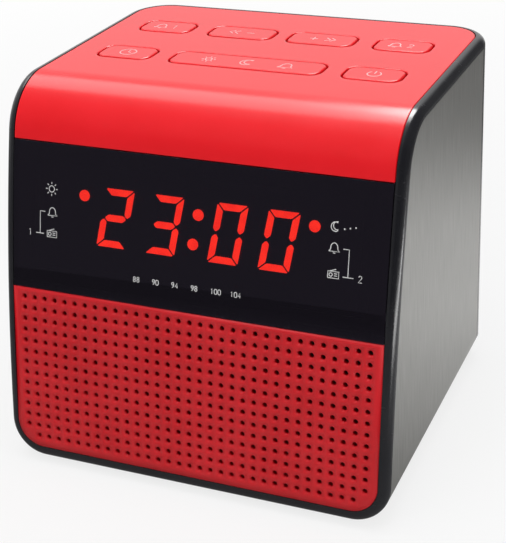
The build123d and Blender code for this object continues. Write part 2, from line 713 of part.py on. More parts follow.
def digit_bars():
    """The seven bars of a digit by letter, leaned over to the right."""
    across = DIGIT_WIDTH - SEGMENT_W
    rise = (DIGIT_HEIGHT - SEGMENT_W) / 2
    lean = math.tan(math.radians(DIGIT_SLANT))
    places = {
        "a": (0, rise, across, False),
        "g": (0, 0, across, False),
        "d": (0, -rise, across, False),
        "f": (-across / 2, rise / 2, rise, True),
        "b": (across / 2, rise / 2, rise, True),
        "e": (-across / 2, -rise / 2, rise, True),
        "c": (across / 2, -rise / 2, rise, True),
    }
    for letter, place in places.items():
        corners = [(x + lean * y, y) for x, y in bar_corners(*place)]
        yield letter, Polygon(*corners, align=None)


BARS_OF = {"0": "abcdef", "2": "abged", "3": "abgcd"}


def display_segments(lit):
    """The glowing bars of the time, or the dark ones that are left."""
    face = front_plane(DISPLAY_Z, module_front())
    bars = []
    for x, figure in zip(DIGIT_X, DIGITS_SHOWN):
        for letter, bar in digit_bars():
            if (letter in BARS_OF[figure]) == lit:
                bars.append(face * extrude(Pos(x, 0) * bar, SEGMENT_T, dir=(0, 0, 1)))
    return Compound(bars)


def lamp_spots():
    """The two dots of the colon and the two indicator lamps beside the digits."""
    lean = math.tan(math.radians(DIGIT_SLANT))
    rise = DIGIT_HEIGHT / 4
    yield lean * rise, rise
    yield -lean * rise, -rise
    yield DIGIT_X[0] - LAMP_FROM_DIGIT, DIGIT_HEIGHT / 2 - LAMP_DROP
    yield DIGIT_X[-1] + LAMP_FROM_DIGIT, DIGIT_HEIGHT / 2 - LAMP_DROP


def indicator_lamps():
    """The round lamps of the display."""
    face = front_plane(DISPLAY_Z, module_front())
    dot = drum(LAMP_RADIUS, SEGMENT_T)
    return Compound([face * Pos(x, y) * dot for x, y in lamp_spots()])


def display_module():
    """Black block that carries the bars and lamps on its face, soldered to its board."""
    face = front_plane(DISPLAY_Z, module_front())
    width = WIDTH - 2 * MODULE_FROM_SIDE
    return face * Pos(0, 0, -MODULE_DEEP / 2) * Box(width, MODULE_HEIGHT, MODULE_DEEP)


def display_board():
    """Circuit board behind the display, screwed to the front frame's posts."""
    width = WIDTH - 2 * WALL - 2 * DISPLAY_BOARD_GAP
    plane = front_plane(DISPLAY_Z, module_rear())
    height = MODULE_HEIGHT + 2 * SMALL_BOSS_R
    board = plane * Pos(0, 0, -BOARD_T / 2) * Box(width, height, BOARD_T)
    for hole in display_posts(SMALL_SCREW_R, module_rear(), module_rear() + BOARD_T):
        board -= hole
    return board


# ---- Speaker --------------------------------------------------------------------------------
def speaker_seat():
    """Depth of the flat face that the speaker's rim lies on."""
    return SHELL + SPEAKER_LIFT


def speaker_ring(*sections):
    """A flat-sided solid on the speaker's axis between two sections of radius and depth."""
    front, rear = [(radius, -depth) for radius, depth in sections]
    return front_plane(SPEAKER_Z, speaker_seat()) * flat_cone(front, rear, LARGE_SIDES)


def speaker_basket():
    """Pressed steel basket: rim, slanted wall and the plate that carries the magnet."""
    t = BASKET_T
    neck = MAGNET_RADIUS - 1
    basket = speaker_ring((SPEAKER_RADIUS, 0), (SPEAKER_RADIUS, t))
    basket += speaker_ring((SPEAKER_OPENING + t, t), (SPEAKER_OPENING + t, 2 * t))
    basket += speaker_ring((SPEAKER_OPENING + t, 2 * t), (neck, SPEAKER_DEEP + t))
    basket -= speaker_ring((SPEAKER_OPENING, 0), (SPEAKER_OPENING, 2 * t))
    basket -= speaker_ring((SPEAKER_OPENING, 2 * t), (neck - t, SPEAKER_DEEP))
    return basket - speaker_ring((COIL_RADIUS + 1, 0), (COIL_RADIUS + 1, 2 * SPEAKER_DEEP))


def cone_throat():
    """Depth at which the cone meets its coil former."""
    return SPEAKER_DEEP - 3


def speaker_cone():
    """Paper cone, with its edge on the rim and its throat round the coil."""
    t = CONE_T
    edge = SPEAKER_OPENING - t
    foot = SPEAKER_DEEP + t
    cone = speaker_ring((SPEAKER_OPENING, 0), (SPEAKER_OPENING, t))
    cone += speaker_ring((edge, t), (COIL_RADIUS + t, cone_throat()))
    cone += speaker_ring((COIL_RADIUS + t, cone_throat()), (COIL_RADIUS + t, foot))
    cone -= speaker_ring((edge, 0), (COIL_RADIUS, cone_throat() - t))
    return cone - speaker_ring((COIL_RADIUS, cone_throat() - t), (COIL_RADIUS, foot))


def speaker_dust_cap():
    """Domed cap glued into the throat of the cone."""
    base = cone_throat() - CONE_T
    shoulder = COIL_RADIUS * 0.7
    crown = COIL_RADIUS * 0.3
    rise = DUST_CAP_RISE
    cap = speaker_ring((COIL_RADIUS, base), (shoulder, base - 0.6 * rise))
    cap += speaker_ring((shoulder, base - 0.6 * rise), (crown, base - rise))
    t = CONE_T
    cap -= speaker_ring((COIL_RADIUS - t, base), (shoulder - t, base - 0.6 * rise + t))
    return cap - speaker_ring((shoulder - t, base - 0.6 * rise + t), (crown, base - rise + t))


def speaker_magnet():
    """Ring magnet with its rear plate."""
    low = SPEAKER_DEEP + BASKET_T
    high = low + MAGNET_T
    plate = MAGNET_RADIUS - 1.5
    magnet = speaker_ring((MAGNET_RADIUS, low), (MAGNET_RADIUS, high))
    return magnet + speaker_ring((plate, high), (plate, high + MAGNET_PLATE_T))


# ---- Boards, transformer and leads ------------------------------------------------------------
def main_board():
    """Radio and supply board on four posts over the battery bay."""
    low = (MAIN_BOARD_X - MAIN_BOARD_W / 2, MAIN_BOARD_Y - MAIN_BOARD_D / 2, MAIN_BOARD_Z)
    high = (low[0] + MAIN_BOARD_W, low[1] + MAIN_BOARD_D, MAIN_BOARD_Z + BOARD_T)
    board = block(low, high)
    for x, y in main_board_spots():
        board -= upright(x, y, MAIN_BOARD_Z, MAIN_BOARD_Z + BOARD_T, SMALL_SCREW_R)
    return board


def on_board(x, y):
    """A place on the main board, from its middle."""
    return MAIN_BOARD_X + x, MAIN_BOARD_Y + y


def filter_capacitors():
    """Upright electrolytic capacitors of the supply."""
    face = MAIN_BOARD_Z + BOARD_T
    cans = []
    for x, y, radius, height in ((20, -14, 5, 14), (20, 0, 4, 11), (8, -16, 3.2, 9), (8, -8, 3.2, 9)):
        cx, cy = on_board(x, y)
        cans.append(Pos(cx, cy, face) * drum(radius, height))
    return Compound(cans)


def circuit_chips():
    """Tuner and clock chips."""
    face = MAIN_BOARD_Z + BOARD_T
    chips = []
    for x, y, w, d in ((-15, 8, 9, 20), (2, 8, 8, 14)):
        cx, cy = on_board(x, y)
        chips.append(block((cx - w / 2, cy - d / 2, face), (cx + w / 2, cy + d / 2, face + 3)))
    return Compound(chips)


def tuner_cans():
    """Screened coils of the tuner."""
    face = MAIN_BOARD_Z + BOARD_T
    cans = []
    for x, y in ((-15, -10), (-5, -10), (-5, -19)):
        cx, cy = on_board(x, y)
        can = block((cx - 3.6, cy - 3.6, face), (cx + 3.6, cy + 3.6, face + 11))
        cans.append(can - upright(cx, cy, face + 10, face + 11, 1.8))
    return Compound(cans)


def transformer_core():
    """Laminated core with the two windows that the winding fills, on two ribs of the floor."""
    low = (CORE_X - CORE_W / 2, CORE_Y - CORE_D / 2, CORE_FOOT)
    core = block(low, (low[0] + CORE_W, low[1] + CORE_D, CORE_FOOT + CORE_H))
    return core - transformer_winding()


def transformer_winding():
    """Bobbin and winding round the core's middle leg."""
    inside = CORE_W / 2 - CORE_LEG / 2
    low = CORE_FOOT + CORE_LEG / 2
    high = CORE_FOOT + CORE_H - CORE_LEG / 2
    depth = CORE_D / 2 + WINDING_OUT
    coil = block((CORE_X - inside, CORE_Y - depth, low), (CORE_X + inside, CORE_Y + depth, high))
    leg = CORE_LEG / 2
    return coil - block(
        (CORE_X - leg, CORE_Y - CORE_D / 2, low), (CORE_X + leg, CORE_Y + CORE_D / 2, high)
    )


# ---- Battery bay ------------------------------------------------------------------------------
def door_plate(grow):
    """The battery door's plate; grown all round, it is the recess that the plate lies in."""
    half_x = BAY_HALF_X + DOOR_LIP + grow
    front = HINGE_Y + (HINGE_WEB if grow else HINGE_SETBACK)
    rear = BAY_Y + BAY_HALF_Y + DOOR_LIP + grow
    return block((BAY_X - half_x, front, BASE_Z), (BAY_X + half_x, rear, BASE_Z + DOOR_T))


def battery_door():
    """Door of the battery bay with its two hinge knuckles and pins, flush with the floor."""
    door = door_plate(0)
    for x in knuckle_spots():
        half = HINGE_KNUCKLE / 2
        door += across_x(x, HINGE_KNUCKLE, HINGE_RADIUS)
        low = (x - half, HINGE_Y, BASE_Z)
        door += block(low, (x + half, HINGE_Y + HINGE_SETBACK, BASE_Z + DOOR_T))
        door += across_x(x, HINGE_KNUCKLE + 2 * HINGE_PIN_OUT, HINGE_PIN_R)
    rear = BAY_Y + BAY_HALF_Y + DOOR_LIP - GRIP_FROM_EDGE
    low = (BAY_X - GRIP_WIDTH / 2, rear - GRIP_DEPTH, BASE_Z - GRIP_SUNK)
    return door - block(low, (BAY_X + GRIP_WIDTH / 2, rear, BASE_Z + GRIP_SUNK))


def backup_cells():
    """Two small cells that keep the clock going, side by side."""
    cells = []
    for side in (-1, 1):
        y = BAY_Y + side * (CELL_RADIUS + CELL_CLEAR / 4)
        z = BASE_Z + DOOR_T + CELL_RADIUS + CELL_CLEAR
        start = Plane(origin=(BAY_X, y, z), z_dir=(side, 0, 0)) * Pos(0, 0, -CELL_LENGTH / 2)
        body = start * rod(CELL_RADIUS, CELL_LENGTH - CELL_TIP_T, LARGE_SIDES)
        tip = start * Pos(0, 0, CELL_LENGTH - CELL_TIP_T) * rod(CELL_TIP_R, CELL_TIP_T)
        cells.append(body + tip)
    return Compound(cells)


# ---- Small pieces -----------------------------------------------------------------------------
def cord_gland():
    """Rubber bushing in the rear cover that the mains cord comes through."""
    wall = BACK_Y - REAR_WALL
    front = wall - GLAND_FLANGE_T
    gland = along_y(GLAND_X, front, BACK_Y, GLAND_Z, GLAND_NECK_R, drum)
    gland += along_y(GLAND_X, front, wall, GLAND_Z, GLAND_BODY_R, drum)
    return gland - along_y(GLAND_X, front - 1, BACK_Y + 1, GLAND_Z, GLAND_BORE, bore)


def rubber_feet():
    """Four tapered round feet glued to the underside."""
    foot = flat_cone((FOOT_RADIUS - FOOT_TAPER, 0), (FOOT_RADIUS, FOOT_HEIGHT), SHOWN_SIDES)
    return Compound([Pos(x, y, 0) * foot for x, y in foot_spots()])


def case_screws():
    """The four long screws that hold the two halves together."""
    screws = []
    for x, z in screw_spots():
        seat = BACK_Y - SCREW_HEAD_SUNK
        tip = SPLIT_Y - CASE_SCREW_LENGTH + RIB_T + CASE_SCREW_TIP_GAP
        shank = along_y(x, tip, seat, z, CASE_SCREW_R)
        head = along_y(x, seat, seat + CASE_SCREW_HEAD_T, z, CASE_SCREW_HEAD_R, drum)
        screws.append(shank + head)
    return Compound(screws)


def board_screws():
    """The short screws of the key board, the main board and the display board."""
    screws = []
    low = KEY_BOARD_TOP - BOARD_T
    for x, y in boss_spots():
        head = upright(x, y, low - SMALL_SCREW_HEAD_T, low, SMALL_SCREW_HEAD_R)
        tip = KEY_BOARD_TOP + SMALL_SCREW_LENGTH
        screws.append(head + upright(x, y, low, tip, SMALL_SCREW_R))
    high = MAIN_BOARD_Z + BOARD_T
    for x, y in main_board_spots():
        head = upright(x, y, high, high + SMALL_SCREW_HEAD_T, SMALL_SCREW_HEAD_R)
        tip = MAIN_BOARD_Z - SMALL_SCREW_LENGTH
        screws.append(head + upright(x, y, tip, high, SMALL_SCREW_R))
    rear = module_rear() + BOARD_T
    heads = display_posts(SMALL_SCREW_HEAD_R, rear, rear + SMALL_SCREW_HEAD_T)
    shanks = display_posts(SMALL_SCREW_R, module_rear() - SMALL_SCREW_LENGTH, rear)
    screws += [head + shank for head, shank in zip(heads, shanks)]
    return Compound(screws)


# ---- Output -----------------------------------------------------------------------------------
def parts():
    """Every sub-part by its node name."""
    side_cover = side_cover_form(FIT_GAP)
    yield "cabinet", cabinet()
    yield "rear_cover", rear_cover()
    yield "side_cover_right", side_cover
    yield "side_cover_left", mirror(side_cover, Plane.YZ)
    yield "top_cover", top_cover()
    yield "display_window", display_window()
    yield "speaker_grille", speaker_grille()
    for name, (x, y, width) in KEYS.items():
        yield name, key(x, y, width)
        yield name.replace("key", "plunger"), plunger(x, y)
    yield "tact_switches", tact_switches()
    yield "key_board", key_board()
    yield "display_module", display_module()
    yield "lit_segments", display_segments(True)
    yield "dark_segments", display_segments(False)
    yield "indicator_lamps", indicator_lamps()
    yield "display_board", display_board()
    yield "speaker_basket", speaker_basket()
    yield "speaker_cone", speaker_cone()
    yield "speaker_dust_cap", speaker_dust_cap()
    yield "speaker_magnet", speaker_magnet()
    yield "main_board", main_board()
    yield "filter_capacitors", filter_capacitors()
    yield "circuit_chips", circuit_chips()
    yield "tuner_cans", tuner_cans()
    yield "transformer_core", transformer_core()
    yield "transformer_winding", transformer_winding()
    yield "battery_door", battery_door()
    yield "backup_cells", backup_cells()
    yield "cord_gland", cord_gland()
    yield "rubber_feet", rubber_feet()
    yield "case_screws", case_screws()
    yield "board_screws", board_screws()


os.makedirs("parts", exist_ok=True)
for node, shape in parts():
    export_step(shape, f"parts/{node}.step")
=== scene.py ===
"""Looks of the cube clock radio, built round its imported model.

Lengths are metres. Only turned profiles and printed marks are drawn in millimetres.
"""

import math

import bmesh
import bpy
from mathutils import Matrix, Vector


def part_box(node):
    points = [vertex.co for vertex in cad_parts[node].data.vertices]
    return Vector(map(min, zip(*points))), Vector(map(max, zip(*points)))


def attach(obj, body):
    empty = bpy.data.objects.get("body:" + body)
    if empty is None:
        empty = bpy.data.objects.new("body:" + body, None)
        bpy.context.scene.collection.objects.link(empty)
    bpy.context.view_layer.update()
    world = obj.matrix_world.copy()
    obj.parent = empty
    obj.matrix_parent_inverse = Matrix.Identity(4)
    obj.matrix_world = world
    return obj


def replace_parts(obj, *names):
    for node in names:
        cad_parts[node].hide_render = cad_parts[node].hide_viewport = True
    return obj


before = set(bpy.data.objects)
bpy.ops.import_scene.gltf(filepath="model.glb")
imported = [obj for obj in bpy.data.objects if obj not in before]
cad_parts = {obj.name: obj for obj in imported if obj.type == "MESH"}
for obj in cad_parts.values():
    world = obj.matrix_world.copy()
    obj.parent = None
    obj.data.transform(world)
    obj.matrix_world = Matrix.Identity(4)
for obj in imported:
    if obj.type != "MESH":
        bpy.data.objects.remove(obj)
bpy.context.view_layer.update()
MM = 0.001

# ---- Camera ---------------------------------------------------------------------------------
# It stands off the radio's right front corner, a little above it, and leans very slightly. Its
# lens is fairly long, and shifted so that the radio fills the frame.
VIEW_PLACE = Vector((138.9, -304.04, 210.33)) * MM
VIEW_AZIMUTH = math.radians(22.5025)
VIEW_ELEVATION = math.radians(25.4619)
VIEW_ROLL = math.radians(-2.2793)
LENS = 88.91
LENS_SHIFT = (-0.0829, -0.0627)

level = Vector((math.cos(VIEW_AZIMUTH), math.sin(VIEW_AZIMUTH), 0))
towards = Vector((
    -math.sin(VIEW_AZIMUTH) * math.cos(VIEW_ELEVATION),
    math.cos(VIEW_AZIMUTH) * math.cos(VIEW_ELEVATION),
    -math.sin(VIEW_ELEVATION),
))
upward = level.cross(towards)
camera_x = level * math.cos(VIEW_ROLL) + upward * math.sin(VIEW_ROLL)
camera_y = upward * math.cos(VIEW_ROLL) - level * math.sin(VIEW_ROLL)
view = bpy.data.cameras.new("camera")
view.sensor_width = 36
view.lens = LENS
view.shift_x, view.shift_y = LENS_SHIFT
view.clip_start = 0.01
camera = bpy.data.objects.new("camera", view)
turn = Matrix((camera_x, camera_y, -towards)).transposed().to_4x4()
camera.matrix_world = Matrix.Translation(VIEW_PLACE) @ turn
bpy.context.collection.objects.link(camera)
bpy.context.scene.camera = camera
bpy.context.scene.view_settings.view_transform = "Standard"


# ---- Studio ---------------------------------------------------------------------------------
# A round white table in a white room. Gloss sees the white of the room behind the radio, and
# the dim of the studio in front of it. Three soft strips hang over the radio and behind it.
TABLE_RADIUS = 0.62
TABLE_DROP = 0.05 * MM
# Middle of a painted pool of light on the table, seen only in gloss.
PAINTED_POOL_PLACE = (0.09, 0.1, 0)
RADIO_MIDDLE = (0, 0, 0.05)
CROWN_PLACE = (-0.02, 0.09)
SIDE_FOOT = (0.054, 0, 0.03)


def wire(tree, source, socket, goes_to, into):
    """Joins two nodes of a material."""
    tree.links.new(source.outputs[socket], goes_to.inputs[into])


def add(tree, kind, operation=None, **values):
    """Adds a node to a material, with its operation and the values of its sockets."""
    made = tree.nodes.new("ShaderNode" + kind)
    if operation:
        made.operation = operation
    for name, value in values.items():
        made.inputs[name.replace("_", " ")].default_value = value
    return made


def either(tree, *sources):
    """The largest of several values."""
    largest = sources[0]
    for source in sources[1:]:
        pair = add(tree, "Math", "MAXIMUM")
        wire(tree, *largest, pair, 0)
        wire(tree, *source, pair, 1)
        largest = (pair, 0)
    return largest


def seen(tree):
    """1 for what the camera sees, also by way of gloss or glass."""
    path = add(tree, "LightPath")
    rays = ("Is Camera Ray", "Is Glossy Ray", "Is Transmission Ray")
    return either(tree, *[(path, ray) for ray in rays])


def room():
    """The world: white to the eye, and to gloss dim in front of the radio and to its right."""
    world = bpy.data.worlds.new("studio")
    bpy.context.scene.world = world
    world.use_nodes = True
    tree = world.node_tree
    tree.nodes.clear()
    out = add(tree, "OutputWorld")
    light = add(tree, "Background", Color=(1, 1, 1, 1), Strength=0.42)
    white = add(tree, "Background", Color=(1, 1, 1, 1))
    side = add(tree, "SeparateXYZ")
    wire(tree, add(tree, "TexCoord"), "Generated", side, 0)
    front = add(tree, "MapRange", From_Min=-0.6, From_Max=0.2, To_Min=0.22, To_Max=0.9)
    wire(tree, side, "Y", front, "Value")
    right = add(tree, "MapRange", From_Min=0.0, From_Max=0.25, To_Min=1.0, To_Max=0.12)
    wire(tree, side, "X", right, "Value")
    dim = add(tree, "Math", "MULTIPLY")
    wire(tree, front, 0, dim, 0)
    wire(tree, right, 0, dim, 1)
    path = add(tree, "LightPath")
    wire(tree, *either(tree, (dim, 0), (path, "Is Camera Ray")), white, "Strength")
    choose = add(tree, "MixShader")
    wire(tree, *seen(tree), choose, 0)
    wire(tree, light, 0, choose, 1)
    wire(tree, white, 0, choose, 2)
    wire(tree, choose, 0, out, "Surface")


def table():
    """A round white table that keeps the radio's shadow. Gloss sees a painted pool of light beside
    it.
    """
    bm = bmesh.new()
    bmesh.ops.create_circle(bm, cap_ends=True, radius=TABLE_RADIUS, segments=96)
    bmesh.ops.translate(bm, verts=bm.verts, vec=(0, 0, -TABLE_DROP))
    mesh = bpy.data.meshes.new("table")
    bm.to_mesh(mesh)
    bm.free()
    top = bpy.data.objects.new("table", mesh)
    bpy.context.collection.objects.link(top)
    material = bpy.data.materials.new("white_table")
    material.use_nodes = True
    tree = material.node_tree
    tree.nodes.clear()
    out = add(tree, "OutputMaterial")
    paint = add(tree, "BsdfDiffuse", Color=(0.7, 0.7, 0.7, 1))
    place = add(tree, "TexCoord")
    white = add(tree, "Emission", Color=(1, 1, 1, 1))
    # Painted pool of light: seen in gloss, the table glows brightly near one spot beside the radio
    # and only dimly further out.
    apart = add(tree, "VectorMath", "DISTANCE")
    wire(tree, place, "Object", apart, 0)
    apart.inputs[1].default_value = PAINTED_POOL_PLACE
    painted_pool = add(tree, "MapRange", From_Min=0.04, From_Max=0.13, To_Min=1.0, To_Max=0.15)
    wire(tree, apart, "Value", painted_pool, "Value")
    path = add(tree, "LightPath")
    wire(tree, *either(tree, (painted_pool, 0), (path, "Is Camera Ray")), white, "Strength")
    far = add(tree, "VectorMath", "LENGTH")
    wire(tree, place, "Object", far, 0)
    share = add(tree, "MapRange", From_Min=0.16, From_Max=0.5, To_Min=0.8, To_Max=1.0)
    wire(tree, far, "Value", share, "Value")
    amount = add(tree, "Math", "MULTIPLY")
    wire(tree, *seen(tree), amount, 0)
    wire(tree, share, 0, amount, 1)
    mixed = add(tree, "MixShader")
    wire(tree, amount, 0, mixed, 0)
    wire(tree, paint, 0, mixed, 1)
    wire(tree, white, 0, mixed, 2)
    clear = add(tree, "MixShader")
    wire(tree, add(tree, "NewGeometry"), "Backfacing", clear, 0)
    wire(tree, mixed, 0, clear, 1)
    wire(tree, add(tree, "BsdfTransparent"), 0, clear, 2)
    wire(tree, clear, 0, out, "Surface")
    mesh.materials.append(material)


def soft_lamp(name, place, target, size, power):
    """A soft rectangular lamp that looks at a point."""
    light = bpy.data.lights.new(name, "AREA")
    light.shape = "RECTANGLE"
    light.size, light.size_y = size
    light.energy = power
    hung = bpy.data.objects.new(name, light)
    hung.location = place
    aim = Vector(target) - Vector(place)
    hung.rotation_euler = aim.to_track_quat("-Z", "Y").to_euler()
    bpy.context.collection.objects.link(hung)
    hung.visible_camera = False
    return hung


room()
table()

# Two large lamps light the colours, and gloss doesn't mirror them.
for name, place, size, power in (
    ("key_light", (-0.3, -0.75, 0.8), (0.6, 0.6), 1.5),
    ("sky_light", (0.05, -0.05, 0.95), (0.8, 0.8), 6.6),
):
    soft_lamp(name, place, RADIO_MIDDLE, size, power).visible_glossy = False

# Three strips are seen in gloss alone, as the light streak along the crown.
for name, place, size, power in (
    ("strip_front", (-0.02, 0.26, 0.85), (0.36, 0.24), 1.4),
    ("strip_rear", (0.0, 0.54, 0.85), (0.46, 0.36), 7.5),
    ("strip_long", (-0.32, 0.3, 0.85), (1.0, 0.5), 4.6),
):
    soft_lamp(name, place, (place[0], *CROWN_PLACE), size, power).visible_diffuse = False

# One low lamp grazes the foot of the right side.
soft_lamp("low_light", (0.2, -0.02, 0.012), SIDE_FOOT, (0.16, 0.02), 0.1)


# ---- Case -----------------------------------------------------------------------------------
# Two halves and the battery door are moulded in black. The mould is finely eroded, which
# softens the gloss a little, and handling has left a few faint scratches.
GRAIN_DEPTH = 0.05 * MM


def group(name, inputs, outputs):
    """An empty group of shader nodes with its named sockets, and its two ends."""
    made = bpy.data.node_groups.new(name, "ShaderNodeTree")
    for socket, value in inputs.items():
        new = made.interface.new_socket(name=socket, in_out="INPUT", socket_type="NodeSocketFloat")
        new.default_value = value
    for socket, kind in outputs.items():
        made.interface.new_socket(name=socket, in_out="OUTPUT", socket_type="NodeSocket" + kind)
    return made, made.nodes.new("NodeGroupInput"), made.nodes.new("NodeGroupOutput")


def moulded_grain():
    """Grain of a moulded surface: uneven gloss, faint scratches and a fine bump."""
    tree, start, end = group(
        "moulded_grain",
        {"Grain Scale": 2500, "Grain Height": 0.1, "Smooth": 0.2, "Dull": 0.3, "Scratches": 0.1},
        {"Roughness": "Float", "Normal": "Vector", "Mottle": "Float"},
    )
    place = add(tree, "TexCoord")
    grain = add(tree, "TexNoise", Detail=3.0)
    wire(tree, place, "Object", grain, "Vector")
    wire(tree, start, "Grain Scale", grain, "Scale")
    cloud = add(tree, "TexNoise", Scale=60.0, Detail=5.0, Roughness=0.6)
    wire(tree, place, "Object", cloud, "Vector")
    drawn = add(tree, "Mapping", Rotation=(0.4, 0.7, 0.5), Scale=(40, 900, 900))
    wire(tree, place, "Object", drawn, "Vector")
    line = add(tree, "TexNoise", Scale=1.0, Detail=1.0)
    wire(tree, drawn, 0, line, "Vector")
    scratch = add(tree, "MapRange", From_Min=0.68, From_Max=0.76)
    wire(tree, line, "Fac", scratch, "Value")
    faint = add(tree, "Math", "MULTIPLY")
    wire(tree, scratch, 0, faint, 0)
    wire(tree, start, "Scratches", faint, 1)
    gloss = add(tree, "MapRange", From_Min=0.35, From_Max=0.65)
    wire(tree, cloud, "Fac", gloss, "Value")
    wire(tree, start, "Smooth", gloss, "To Min")
    wire(tree, start, "Dull", gloss, "To Max")
    worn = add(tree, "Math", "ADD")
    wire(tree, gloss, 0, worn, 0)
    wire(tree, faint, 0, worn, 1)
    bump = add(tree, "Bump", Distance=GRAIN_DEPTH)
    wire(tree, start, "Grain Height", bump, "Strength")
    wire(tree, grain, "Fac", bump, "Height")
    wire(tree, worn, 0, end, "Roughness")
    wire(tree, bump, 0, end, "Normal")
    wire(tree, cloud, "Fac", end, "Mottle")
    return tree


GRAIN = moulded_grain()


def two_tone(tree, source, socket, dark, light):
    """A colour that wanders between two close tones."""
    tone = add(tree, "ValToRGB")
    for element, place, colour in zip(tone.color_ramp.elements, (0.35, 0.65), (dark, light)):
        element.position = place
        element.color = (*colour, 1)
    wire(tree, source, socket, tone, 0)
    return tone


def moulded(name, dark, light, grain=(2500, 0.1), gloss=(0.2, 0.3), scratches=0.1, **more):
    """A moulded finish: two close tones, how fine and deep its grain is, and its gloss."""
    material = bpy.data.materials.new(name)
    material.use_nodes = True
    tree = material.node_tree
    shader = tree.nodes["Principled BSDF"]
    for socket, value in more.items():
        shader.inputs[socket.replace("_", " ")].default_value = value
    skin = tree.nodes.new("ShaderNodeGroup")
    skin.node_tree = GRAIN
    skin.inputs["Grain Scale"].default_value, skin.inputs["Grain Height"].default_value = grain
    skin.inputs["Smooth"].default_value, skin.inputs["Dull"].default_value = gloss
    skin.inputs["Scratches"].default_value = scratches
    wire(tree, two_tone(tree, skin, "Mottle", dark, light), 0, shader, "Base Color")
    wire(tree, skin, "Roughness", shader, "Roughness")
    wire(tree, skin, "Normal", shader, "Normal")
    return material


def finish(material, *names):
    """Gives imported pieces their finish."""
    for name in names:
        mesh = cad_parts[name].data
        mesh.materials.clear()
        mesh.materials.append(material)


BLACK_CASE = moulded(
    "black_case", (0.011, 0.011, 0.014), (0.015, 0.015, 0.018), gloss=(0.17, 0.22)
)
finish(BLACK_CASE, "cabinet", "rear_cover", "battery_door")


# ---- Side covers ----------------------------------------------------------------------------
# Thin grey skins let into both sides of the case. They are lacquered in satin grey over a fine
# upright brush grain, and wrap the lower corners of the case.
BRUSH_DEPTH = 0.04 * MM


def brushed_lacquer():
    """Satin grey metal lacquer with an upright grain."""
    material = bpy.data.materials.new("grey_side")
    material.use_nodes = True
    tree = material.node_tree
    shader = tree.nodes["Principled BSDF"]
    shader.inputs["Metallic"].default_value = 0.7
    stretch = add(tree, "Mapping", Scale=(4000, 4000, 90))
    wire(tree, add(tree, "TexCoord"), "Object", stretch, "Vector")
    grain = add(tree, "TexNoise", Scale=1.0, Detail=4.0)
    wire(tree, stretch, 0, grain, "Vector")
    tone = two_tone(tree, grain, "Fac", (0.25, 0.246, 0.232), (0.36, 0.356, 0.34))
    wire(tree, tone, 0, shader, "Base Color")
    gloss = add(tree, "MapRange", To_Min=0.3, To_Max=0.42)
    wire(tree, grain, "Fac", gloss, "Value")
    wire(tree, gloss, 0, shader, "Roughness")
    bump = add(tree, "Bump", Distance=BRUSH_DEPTH, Strength=0.3)
    wire(tree, grain, "Fac", bump, "Height")
    wire(tree, bump, 0, shader, "Normal")
    return material


finish(brushed_lacquer(), "side_cover_right", "side_cover_left")

# ---- Top cover ------------------------------------------------------------------------------
# One glossy red moulding that covers the top, turns over the crown and ends at the window. It
# has seven rounded openings for the keys, and snaps into the black case.
BAND = 2.6 * MM           # bare edge of the black case round the panels
FIT_GAP = 0.15 * MM       # round every inlaid panel
PANEL_T = 1.8 * MM
KEY_CORNER = 2.8 * MM
OPENING_GAP = 0.45 * MM   # round a key
FLANGE = 0.9 * MM         # of a packed key, hidden under the cover
FLAT_EDGE = 1.5 * MM      # last flat row before the crown
RIM_ROW = 0.8 * MM        # flat row along each edge of the cover
COVER_RIM = 0.35 * MM     # roundover of those edges
CASE_REAR_CORNER = 12 * MM
REAR_CORNER = CASE_REAR_CORNER - BAND - FIT_GAP
ARC_RADIUS = 555 * MM     # of the leaning front
CROWN_RADIUS = 16 * MM
BODY_DEPTH = 98.7 * MM
LOWER_LEAN = math.radians(6.42)
BASE_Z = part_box("cabinet")[0].z
TOP_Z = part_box("cabinet")[1].z
BACK_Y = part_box("rear_cover")[1].y
HALF_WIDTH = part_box("cabinet")[1].x - BAND - FIT_GAP
WINDOW_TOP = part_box("display_window")[1].z
ARC_Y = BACK_Y - BODY_DEPTH + ARC_RADIUS * math.cos(LOWER_LEAN)
ARC_Z = BASE_Z - ARC_RADIUS * math.sin(LOWER_LEAN)
CROWN_Z = TOP_Z - CROWN_RADIUS
CROWN_LEAN = math.asin((CROWN_Z - ARC_Z) / (ARC_RADIUS - CROWN_RADIUS))
CROWN_Y = ARC_Y - (ARC_RADIUS - CROWN_RADIUS) * math.cos(CROWN_LEAN)
KEYS = [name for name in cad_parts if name.startswith("key_") and name != "key_board"]
RED_GLOSS = moulded(
    "red_gloss",
    (0.82, 0.004, 0.010),
    (0.86, 0.005, 0.013),
    grain=(1400, 0.03),
    gloss=(0.2, 0.225),
    scratches=0.02,
)


def lean_at(z):
    """How far the front leans back at a height."""
    return math.asin((z - ARC_Z) / ARC_RADIUS)


def rounded_outline(bm, low, high, radius, steps, corners=lambda co: True):
    """Outline of a sheet in X and Y, with some of its corners rounded; gives its edges."""
    place = Matrix.Translation(((high[0] + low[0]) / 2, (high[1] + low[1]) / 2, 0))
    place @= Matrix.Diagonal((high[0] - low[0], high[1] - low[1], 1, 1))
    made = bmesh.ops.create_grid(bm, x_segments=1, y_segments=1, size=0.5, matrix=place)["verts"]
    sheet = made[0].link_faces[0]
    others = set(bm.faces) - {sheet}
    bmesh.ops.bevel(
        bm,
        geom=[v for v in made if corners(v.co)],
        offset=radius,
        offset_type="OFFSET",
        segments=steps,
        profile=0.5,
        affect="VERTICES",
        material=-1,
    )
    sheet = next(f for f in bm.faces if f not in others)
    edges = list(sheet.edges)
    bmesh.ops.delete(bm, geom=[sheet], context="FACES_ONLY")
    return edges


def key_outline(key, grow=0.0):
    """Lower and upper corner of a key's outline, seen from above."""
    low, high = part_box(key)
    inset = FLANGE - grow
    return (low.x + inset, low.y + inset), (high.x - inset, high.y - inset)


